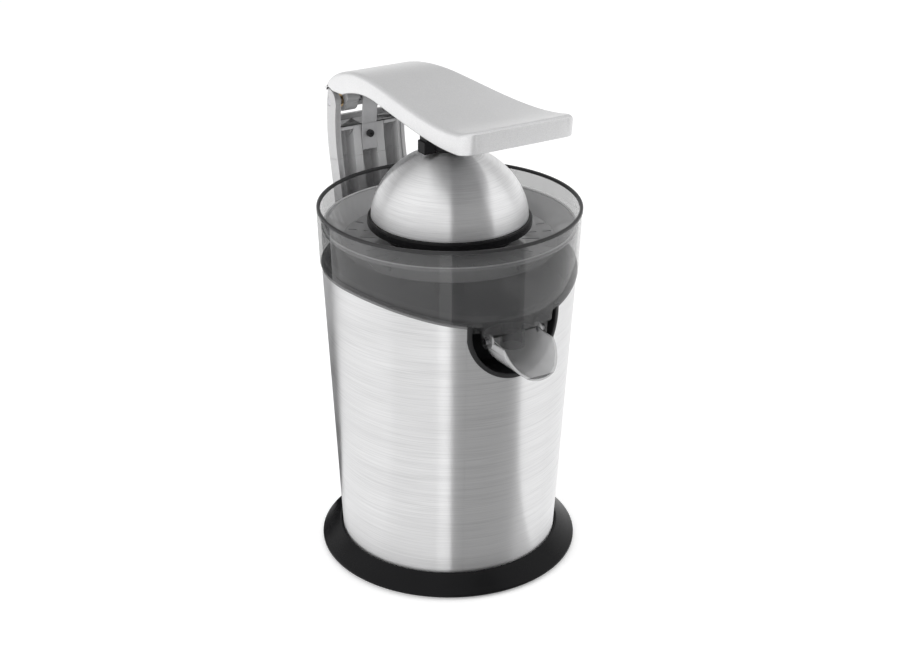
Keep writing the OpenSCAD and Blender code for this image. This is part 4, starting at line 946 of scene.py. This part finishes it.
def press_spring():
    """Return spring round the spindle, made at one length; the real one shortens as the fruit is pressed
    down.
    """
    tree = Growth("coil", Turns="Float", Radius="Float", Height="Float", Wire="Float")
    size = tree.source
    coil = tree.node(
        "CurveSpiral",
        Resolution=32,
        Rotations=size["Turns"],
        Start_Radius=size["Radius"],
        End_Radius=size["Radius"],
        Height=size["Height"],
    )
    wire = tree.node("CurvePrimitiveCircle", Resolution=12, Radius=size["Wire"])
    sweep = tree.node("CurveToMesh", Curve=coil.outputs[0], Profile_Curve=wire.outputs[0], Fill_Caps=True)
    tree.end(sweep.outputs[0], zinc_steel)

    low, high = span("return_spring")
    wire_r = high.x - SPRING_R
    height = high.z - low.z
    piece = add_piece("return_coil", raw_mesh("return_coil", [], []), zinc_steel)
    tree.grow(
        piece, Turns=SPRING_TURNS, Radius=SPRING_R * MM, Height=(height - 2 * wire_r) * MM, Wire=wire_r * MM
    )
    for vert in piece.data.vertices:
        vert.co.z += (low.z + wire_r) * MM
    shade(piece.data, 40)
    stands_for(piece, "screw_steel", "return_spring")
    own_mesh(piece)


# Strainer

CHIMNEY_R = 13
# Inner and outer radius of each ring of slots
SLOT_RINGS = ((49, 61), (65.5, 72))
SLOT_W = 1.4
SLOT_COUNT = 30
SLOT_START = 9.5
STRAINER_FLOOR_T = 1.8
STRAINER_SLOPE_R = 74.5
STRAINER_LIP_H = 0.7


def slot_half(r):
    """Half width of a slot at radius r, rounded at its ends, and at its full width where there is none."""
    half = SLOT_W / 2
    for a, b in SLOT_RINGS:
        if a <= r <= b:
            short = max(0.0, half - min(r - a, b - r))
            return sqrt(half * half - short * short)
    return half


def strainer_sector(radii, outline):
    """Points and open faces of the part of the strainer round one slot, or one in each ring."""
    sector = 2 * pi / SLOT_COUNT
    # Share of the sector, and side of the slot whose edge the row follows
    sides = ((0, 0), (0.25, 0), (0.5, -1), (0.5, 1), (0.75, 0), (1, 0))
    points = []
    for share, side in sides:
        points += [spot(sector * share + side * asin(slot_half(r) / r), r, z) for r, z in outline]

    def in_slot(r0, r1):
        return any(a < (r0 + r1) / 2 < b for a, b in SLOT_RINGS)

    width = len(outline)
    faces = []
    for k in range(len(sides) - 1):
        for j in range(width):
            n = (j + 1) % width
            if k != 2 or not in_slot(outline[j][0], outline[n][0]):
                faces.append((k * width + j, k * width + n, (k + 1) * width + n, (k + 1) * width + j))
    # Walls of the slots: the floor's underside runs outwards from point 1, its top comes back to this one
    top = width - 5
    for m, (r0, r1) in enumerate(zip(radii, radii[1:])):
        if in_slot(r0, r1):
            faces += [(a + 1 + m, a + 2 + m, a + top - m - 1, a + top - m) for a in (2 * width, 3 * width)]
    return points, faces


def strainer_disc():
    """Strainer with two rings of round-ended slots, made of one sector that is repeated round the axis."""
    floor_z = strainer_low.z
    top_z = floor_z + STRAINER_FLOOR_T
    r, z = strainer_high.x, strainer_high.z
    inner = CHIMNEY_R + 0.4
    radii = [CHIMNEY_R + 2.6, 22, 30, 39, 46]
    for a, b in SLOT_RINGS:
        ends = [SLOT_W / 2 * (1 - cos(radians(t))) for t in (0, 25, 50, 90)]
        radii += [a + end for end in ends] + [(a + b) / 2] + [b - end for end in reversed(ends)]
    radii.append(STRAINER_SLOPE_R - 0.9)

    outline = [(inner, floor_z)] + [(radius, floor_z) for radius in radii]
    outline += [
        (STRAINER_SLOPE_R, floor_z + 0.1), (r - 2.2, z - 3.2), (r - 0.3, z - 3), (r, z - 2.6),
        (r, z - 0.5), (r - 0.3, z - 0.1), (r - 0.8, z), (r - 1.3, z - 0.1),
        (r - 1.6, z - 0.5), (r - 1.7, z - 1.2), (r - 2.2, z - 1.5), (r - 3.0, z - 2.0),
    ]
    outline += [(radius, top_z) for radius in reversed(radii)]
    outline += [
        (CHIMNEY_R + 2.3, top_z + 0.8), (CHIMNEY_R + 2.0, top_z + 1.0), (CHIMNEY_R + 0.6, top_z + 1.0),
        (inner, top_z + 0.8),
    ]
    mesh = raw_mesh("strainer sector", *strainer_sector(radii, outline))
    part = add_piece("strainer_sector", mesh, smoked_dense)
    sector = 360 / SLOT_COUNT
    turns = [radians(SLOT_START + sector * (i - 0.5)) for i in range(SLOT_COUNT)]
    piece = copies("strainer_disc", part, [((0, 0, 0), (0, 0, turn)) for turn in turns], smoked_dense)
    close_up(piece.data)
    piece.data.materials.append(pale_lip)
    for face in piece.data.polygons:
        face.material_index = int(face.center.z > (z - STRAINER_LIP_H) * MM)
    shade(piece.data)
    stands_for(piece, "strainer_plastic", "strainer")


# Collector

COLLECTOR_T = 2.4
COLLECTOR_PROUD = 1.1
COLLECTOR_STEPS = 300
APRON_STEPS = 40
LEDGE_T = 2.4
BOWL_R = 81.6
BOWL_T = 1.8
FLOOR_T = 2.2
CHIMNEY_IN_R = 10.8
APRON_W = 27.5
# Depth of the lip along the rim that is seen edge on
LIP_H = 2.0
NOZZLE_R = 8.2
NOZZLE_T = 1.6
NOZZLE_L = 14
# The nozzle's axis lies this far behind the pins, and the lugs this far out from the spout
NOZZLE_BACK = 2
LUG_GAP = 0.6
LUG_T = 2.4
LUG_HALF_W = 4.6
LUG_STEPS = 20
PIN_HOLE_R = 1.75
PIN_HOLE_ENDS = (15, 40)
OUTLET_W = 12
OUTLET_H = 7.5
REST_COUNT = 6
REST_START = 30
REST_DROP = 6
REST_W = 5
REST_H = 3
# The ledge clears what it rests on by this much, so that no two faces lie in one place
LEDGE_LIFT = 0.15

chimney_z = span("collector_bowl")[1].z
floor_top_z = span("collector_bowl")[0].z
floor_low_z = floor_top_z - FLOOR_T
nozzle_y = pivot_y + NOZZLE_BACK
lug_out_x = span("spout")[1].x + LUG_GAP + LUG_T


def collector_r(z):
    """Radius of the collector's outside at height z."""
    return rim_r - (rim_z - z) * (rim_r - sleeve_head_r - COLLECTOR_PROUD) / (rim_z - seam_z)


def collector_section(turn, apron):
    """Closed outline of the collector at one turn; the apron hangs in the notch."""
    def line(r, lift, up=0.0):
        """Point at radius r on a line that follows the seam, lift above it."""
        return r, seam_height(-r * cos(turn), lift) + up

    def meet(lift, inset):
        """Point where that line meets the wall, inset from its outside."""
        z = seam_at(turn, lift, lambda z: collector_r(z) - inset)
        return collector_r(z) - inset, z

    ledge_low, ledge_top = trim_h + LEDGE_LIFT, trim_h + LEDGE_T
    if apron:
        under = [(83.4, floor_low_z), (85.4, floor_low_z)]
        r, z = collector_r(floor_low_z), floor_low_z
        foot = [(r - 0.3, z), (collector_r(z + 0.3), z + 0.3)]
    else:
        under = [line(BOWL_R, ledge_low), line(84.5, ledge_low)]
        r, z = meet(ledge_low, 0)
        foot = [(r - 0.3, z), (r, z + 0.3)]
    lip_r, lip_z = collector_r(rim_z - LIP_H), rim_z - LIP_H
    rim = [(0.02, 0.8), (0.12, 0.4), (0.45, 0.1), (0.8, 0), (1.6, 0), (1.95, 0.1), (2.28, 0.4), (2.4, 0.8)]
    wall_r, wall_z = meet(ledge_top, COLLECTOR_T)
    bowl_r = BOWL_R - BOWL_T
    return foot + [(lip_r, lip_z)] + [(rim_r - inset, rim_z - drop) for inset, drop in rim] + [
        (lip_r - COLLECTOR_T, lip_z),
        (wall_r + 0.04, wall_z + 1.0), (wall_r - 0.25, wall_z + 0.25), (wall_r - 1.0, wall_z),
        line(bowl_r + 0.5, ledge_top), line(bowl_r, ledge_top, -0.5),
        (bowl_r, floor_top_z + 2.0), (bowl_r - 0.6, floor_top_z + 0.6), (bowl_r - 2.0, floor_top_z),
        (CHIMNEY_R + 1.5, floor_top_z), (CHIMNEY_R + 0.4, floor_top_z + 0.4), (CHIMNEY_R, floor_top_z + 1.5),
        (CHIMNEY_R, chimney_z - 0.4), (CHIMNEY_R - 0.4, chimney_z), (CHIMNEY_IN_R + 0.4, chimney_z),
        (CHIMNEY_IN_R, chimney_z - 0.4), (CHIMNEY_IN_R, floor_low_z), (BOWL_R, floor_low_z),
    ] + under


def outlet_parts():
    """Nozzle, the two lugs that carry the spout, and the rests for the strainer."""
    root_z = floor_low_z + 1
    parts = [rod((0, nozzle_y), NOZZLE_R, (floor_low_z - NOZZLE_L, root_z))]
    lug = []
    for i in range(LUG_STEPS + 1):
        a = pi * (1 + i / LUG_STEPS)
        lug.append((pivot_y + LUG_HALF_W * cos(a), pivot_z + LUG_HALF_W * sin(a)))
    lug += [(pivot_y + LUG_HALF_W, root_z), (pivot_y - LUG_HALF_W, root_z)]
    for side in (-1, 1):
        ends = (side * lug_out_x, side * (lug_out_x - LUG_T))
        parts.append(shell([[(x, y, z) for y, z in lug] for x in ends], looped=False))
    rest_z = strainer_high.z - REST_DROP
    low = (strainer_high.x - 2, -REST_W / 2, rest_z)
    high = (collector_r(rest_z) - 1, REST_W / 2, rest_z + REST_H)
    turns = [radians(REST_START + 360 * i / REST_COUNT) for i in range(REST_COUNT)]
    return parts + [block(low, high, turn) for turn in turns]


def collector():
    """Smoked collector: outer wall on its ledge, deep bowl, chimney, apron and outlet."""
    half_apron = asin(APRON_W / collector_r(seam_z))
    turns = round_the_back(half_apron, COLLECTOR_STEPS)
    rows = [upright(turn, collector_section(turn, False)) for turn in turns]
    for i in range(APRON_STEPS + 1):
        turn = half_apron * (2 * i / APRON_STEPS - 1)
        rows.append(upright(turn, collector_section(turn, True)))
    piece = solid("collector_bowl_and_wall", *shell(rows), smoked_clear)
    cut(piece, joined("outlet", outlet_parts(), smoked_clear), "UNION")
    bores = [rod((0, nozzle_y), NOZZLE_R - NOZZLE_T, (floor_low_z - NOZZLE_L - 1, floor_low_z + 5))]
    for side in (-1, 1):
        ends = [side * x for x in PIN_HOLE_ENDS]
        bores.append(rod((pivot_y, pivot_z), PIN_HOLE_R, ends, "x", 32))
    cut(piece, joined("bores", bores, smoked_clear))
    window = block((-OUTLET_W, -BOWL_R - 1, floor_top_z), (OUTLET_W, -BOWL_R + 5, floor_top_z + OUTLET_H))
    cut(piece, joined("window", [window], smoked_clear))
    piece.data.materials.append(smoked_edge)
    piece.data.materials.append(smoked_thin)
    for face in piece.data.polygons:
        at = face.center / MM
        in_bowl = hypot(at.x, at.y) < BOWL_R + 0.5 and at.z > floor_low_z + 0.1
        face.material_index = 1 if at.z > rim_z - LIP_H + 0.1 else 2 if in_bowl else 0
    shade(piece.data)
    stands_for(piece, "smoked_plastic", "collector", "collector_bowl", "collector_floor")


# Reamers

RIB_COUNT = 10
CONE_TURNS = 240
CONE_LEVELS = 40
# Powers that shape the cone's side, its nose and the flanks of its ribs, and crowd the levels at the tip
CONE_BELLY = 1.7
CONE_NOSE = 0.62
RIB_FLANK = 1.6
LEVEL_SPREAD = 1.5
# The ribs lose this share of their height on the way up, and fade out over this share of the cone
RIB_LOSS = 0.35
RIB_FADE = 0.16
VALLEY_DEPTH = 0.5


def reamer(name, foot_r, rise, foot_z, base, hollow, crest, crest_w):
    """A round-nosed cone with sharp ribs that fade out towards its tip.

    base outlines its flange from the hollow's edge outwards, and hollow its inside from the tip down."""
    sector = 2 * pi / RIB_COUNT
    rows = []
    for i in range(CONE_TURNS):
        turn = 2 * pi * i / CONE_TURNS
        off = abs((turn + sector / 2) % sector - sector / 2)
        side = []
        for k in range(1, CONE_LEVELS):
            h = rise * (1 - (1 - k / CONE_LEVELS) ** LEVEL_SPREAD)
            r = foot_r * (1 - (h / rise) ** CONE_BELLY) ** CONE_NOSE
            fade = min(1.0, (rise - h) / (rise * RIB_FADE)) * (1 - RIB_LOSS * h / rise)
            ridge = max(0.0, 1 - off * max(r, 6) / crest_w) ** RIB_FLANK
            valley = VALLEY_DEPTH * sin(min(1.0, 2 * off / sector) * pi / 2)
            side.append((max(0.0, r + (crest * ridge - valley) * fade), foot_z + h))
        rows.append(upright(turn + pi / 2, base + side + [(0.0, foot_z + rise)] + hollow))
    return solid(name, *shell(rows), black_gloss, 60)


def large_reamer():
    low, high = span("cone_skirt")
    rise = span("large_cone")[1].z - low.z
    z, r, top = low.z, high.x, high.z
    base = [(23.0, z), (r - 0.4, z), (r, z + 0.4), (r, top - 0.5), (r - 0.5, top)]
    base += [(38.6, top), (37.4, top + 0.4)]
    hollow = [(0, z + 41.5), (9, z + 39), (17, z + 30), (21.4, z + 12), (21.4, z + 2), (23.0, z + 2)]
    piece = reamer("large_reamer", 36.0, rise, z, base, hollow, 2.2, 3.2)
    stands_for(piece, "black_plastic", "large_cone", "cone_skirt")


def small_reamer():
    low, high = span("small_cone")
    z, r, top = low.z, high.x, low.z + 2.0
    base = [(9.0, z), (r - 0.3, z), (r, z + 0.3), (r, z + 1.6), (r - 0.4, top)]
    base += [(20.2, top), (19.6, top + 0.3)]
    hollow = [(0, z + 16), (4.4, z + 16), (5.2, z + 15), (5.2, z + 1), (9.0, z + 1)]
    piece = reamer("small_reamer", 19.0, high.z - z, z, base, hollow, 2.0, 2.4)
    stands_for(piece, "black_plastic", "small_cone")


# Dressed solids

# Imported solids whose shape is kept: finish, slot in the record and width of the broken edges
DRESSED = {
    "base_plate": (black_matt, "black_plastic", 0.2),
    "foot_ring": (foot_rubber, "rubber", 0.3),
    "cord_gland": (black_matt, "black_plastic", 0.4),
    "housing_foot": (black_matt, "black_plastic", 0.25),
    "inner_housing": (black_matt, "black_plastic", 0.25),
    "housing_collar": (black_matt, "black_plastic", 0.25),
    "spout": (frosted, "clear_plastic", 0.3),
    "spout_pins": (zinc_steel, "screw_steel", 0.2),
    "column_shell": (silver_column, "silver_paint", 0.2),
    "column_liner": (liner_grey, "grey_plastic", 0.25),
    "hinge_strap": (strap_steel, "screw_steel", 0.15),
    "hinge_axle": (zinc_steel, "screw_steel", 0.3),
    "arm_underside": (under_grey, "grey_plastic", 0.25),
    "dome_mount": (black_matt, "black_plastic", 0.4),
    "dome_clips": (black_matt, "black_plastic", 0.4),
    "dome_pin": (zinc_steel, "screw_steel", 0.2),
    "dome_ring": (black_gloss, "black_plastic", 0.3),
    "dome_carrier": (black_gloss, "black_plastic", 0.2),
}

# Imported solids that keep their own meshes, by finish
PAINTED = (
    (core_steel, ("motor_stator", "motor_rotor")),
    (winding_copper, ("motor_coils",)),
    (cast_alloy, ("motor_lower_bracket", "motor_upper_bracket")),
    (oiled_bronze, ("motor_bearings", "spindle_bush", "hinge_bushes")),
    (zinc_steel, ("motor_shaft", "motor_bolts", "motor_pinion", "gearbox_screws", "idler_axle")),
    (zinc_steel, ("drive_spindle", "thrust_collar", "column_screws")),
    (black_matt, ("motor_fan", "gearbox_case", "gearbox_cover", "press_switch", "switch_plunger")),
    (gear_cream, ("idler_gear", "output_gear")),
    (foot_rubber, ("spindle_seal",)),
    # The strap screw is blackened, and dark also as painted shade of its screw hole
    (hole_shade_black_steel, ("strap_screw",)),
)


def dress_the_rest():
    for node, (surface, slot, edge) in DRESSED.items():
        stands_for(dressed(node, surface, edge), slot, node)
    for surface, nodes in PAINTED:
        for node in nodes:
            slots = frame["nodes"][node].data.materials
            if not slots:
                slots.append(surface)
            for index in range(len(slots)):
                slots[index] = surface


# Studio: turns in degrees from the camera's side, lengths in metres

# The camera as it was solved from the photograph
VIEW_TURN = radians(-32.2)
CAMERA_AWAY = 1.043
CAMERA_HEIGHT = 0.64175
CAMERA_TILT = radians(24.5)
CAMERA_ROLL = radians(0.29)
CAMERA_YAW = radians(-0.03)
IMAGE_W = 900
FOCAL_PX = 1641.96

# Strength of the world as a light, and of the glow that lifts the floor to white
WORLD_LIGHT = 0.62
FLOOR_LIFT = 0.27
FLOOR_HALF_W = 1.9
FLOOR_GREY = 0.95
CARD_STEPS = 24
# A card's floor sheet starts this far out from the base, and lies this high
CARD_GAP = 0.003
CARD_LIFT = 0.0008
AIM_HEIGHT = 0.18


def photo_camera():
    """Camera where the photograph was taken from."""
    data = bpy.data.cameras.new("camera")
    data.sensor_width = 36
    data.lens = FOCAL_PX * data.sensor_width / IMAGE_W
    data.clip_end = 50
    camera = bpy.data.objects.new("camera", data)
    scene.collection.objects.link(camera)
    turn = VIEW_TURN + CAMERA_YAW
    level, dip = cos(CAMERA_TILT), sin(CAMERA_TILT)
    ahead = Vector((-sin(turn) * level, cos(turn) * level, -dip))
    right = Vector((cos(turn), sin(turn), 0))
    up = right.cross(ahead)
    lean, hold = sin(CAMERA_ROLL), cos(CAMERA_ROLL)
    axes = (hold * right + lean * up, hold * up - lean * right, -ahead)
    camera.matrix_world = Matrix.Translation(spot(VIEW_TURN, CAMERA_AWAY, CAMERA_HEIGHT)) @ (
        Matrix(axes).transposed().to_4x4()
    )
    scene.camera = camera


def soft_world():
    """White surroundings, a little dimmer as a light so that the lamps can model the shapes."""
    scene.world = bpy.data.worlds.new("studio")
    sky = Shading(scene.world, "Background", Color=(1, 1, 1, 1))
    sky.dress(Strength=sky.between(sky.seen_directly(), WORLD_LIGHT, 1.0))


def stage_sheet(name, points, faces, material):
    mesh = bpy.data.meshes.new(name)
    mesh.from_pydata(points, [], faces)
    sheet = add_piece(name, mesh, material)
    return sheet


def white_floor():
    """Pale floor that keeps the juicer's faint shadow."""
    grey = (FLOOR_GREY, FLOOR_GREY, FLOOR_GREY, 1)
    matt = new_finish("floor", Base_Color=grey, Roughness=0.9, Specular_IOR_Level=0.0)
    lift = matt.math("MULTIPLY", matt.seen_directly(), FLOOR_LIFT)
    matt.dress(Emission_Color=(1, 1, 1, 1), Emission_Strength=lift)
    corners = [(x * FLOOR_HALF_W, y * FLOOR_HALF_W, 0) for x, y in ((-1, -1), (1, -1), (1, 1), (-1, 1))]
    stage_sheet("floor", corners, [(0, 1, 2, 3)], matt.owner)


def card(name, start, end, grey, low=0.0, high=2.0, away=0.9):
    """A curved grey wall seen only in reflections; one that starts on the floor covers the floor too."""
    profile = [(away, low), (away, high)]
    if low == 0:
        profile = [(base_r * MM + CARD_GAP, CARD_LIFT), (away, CARD_LIFT), (away, high)]
    points = []
    for i in range(CARD_STEPS + 1):
        points += upright(VIEW_TURN + radians(start + (end - start) * i / CARD_STEPS), profile)
    width = len(profile)
    faces = []
    for i in range(CARD_STEPS):
        faces += [(a, a + 1, a + 1 + width, a + width) for a in range(width * i, width * (i + 1) - 1)]
    glow = new_finish(name)
    shine = glow.node("Emission", Color=(grey, grey, grey, 1))
    glow.tree.links.new(shine.outputs[0], glow.tree.nodes["Material Output"].inputs["Surface"])
    glow.tree.nodes.remove(glow.surface)
    panel = stage_sheet(name, points, faces, glow.owner)
    panel.visible_camera = False
    panel.visible_diffuse = False
    panel.visible_transmission = False
    panel.visible_shadow = False


def lamp(name, turn, height, distance, size, power):
    """Soft square lamp aimed at the middle of the juicer."""
    data = bpy.data.lights.new(name, "AREA")
    data.shape = "SQUARE"
    data.size = size
    data.energy = power
    light = bpy.data.objects.new(name, data)
    scene.collection.objects.link(light)
    light.location = spot(VIEW_TURN + radians(turn), distance, height)
    aim = Vector((0, 0, AIM_HEIGHT)) - light.location
    light.rotation_euler = aim.to_track_quat("-Z", "Y").to_euler()
    light.visible_camera = False
    light.visible_glossy = False


def studio():
    soft_world()
    white_floor()
    card("front_card", 2, 64, 0.385)
    card("pale_card", -50, -8, 0.93)
    card("left_white_card", -117, -50, 1.0)
    card("right_white_card", 64, 178, 1.0)
    card("side_card", 178, 243, 0.01, high=0.11, away=0.45)
    card("high_card", 112, 248, 0.42, low=0.45, high=2.4)
    lamp("left_lamp", -60, 0.9, 2.2, 1.4, 22)
    lamp("right_lamp", 95, 1.3, 2.2, 1.2, 9)
    lamp("front_lamp", -15, 0.8, 2.0, 1.2, 6)
    lamp("top_lamp", 165, 2.4, 1.0, 1.6, 10)
    photo_camera()


sleeve()
base_foot_ring()
seam_ring()
notch_edging()
steel_dome_shell()
arm_cover()
collector()
strainer_disc()
large_reamer()
small_reamer()
upright_screws("base_screw_set", "base_screws")
upright_screws("lever_screw_set", "arm_screws")
press_spring()
dress_the_rest()
studio()
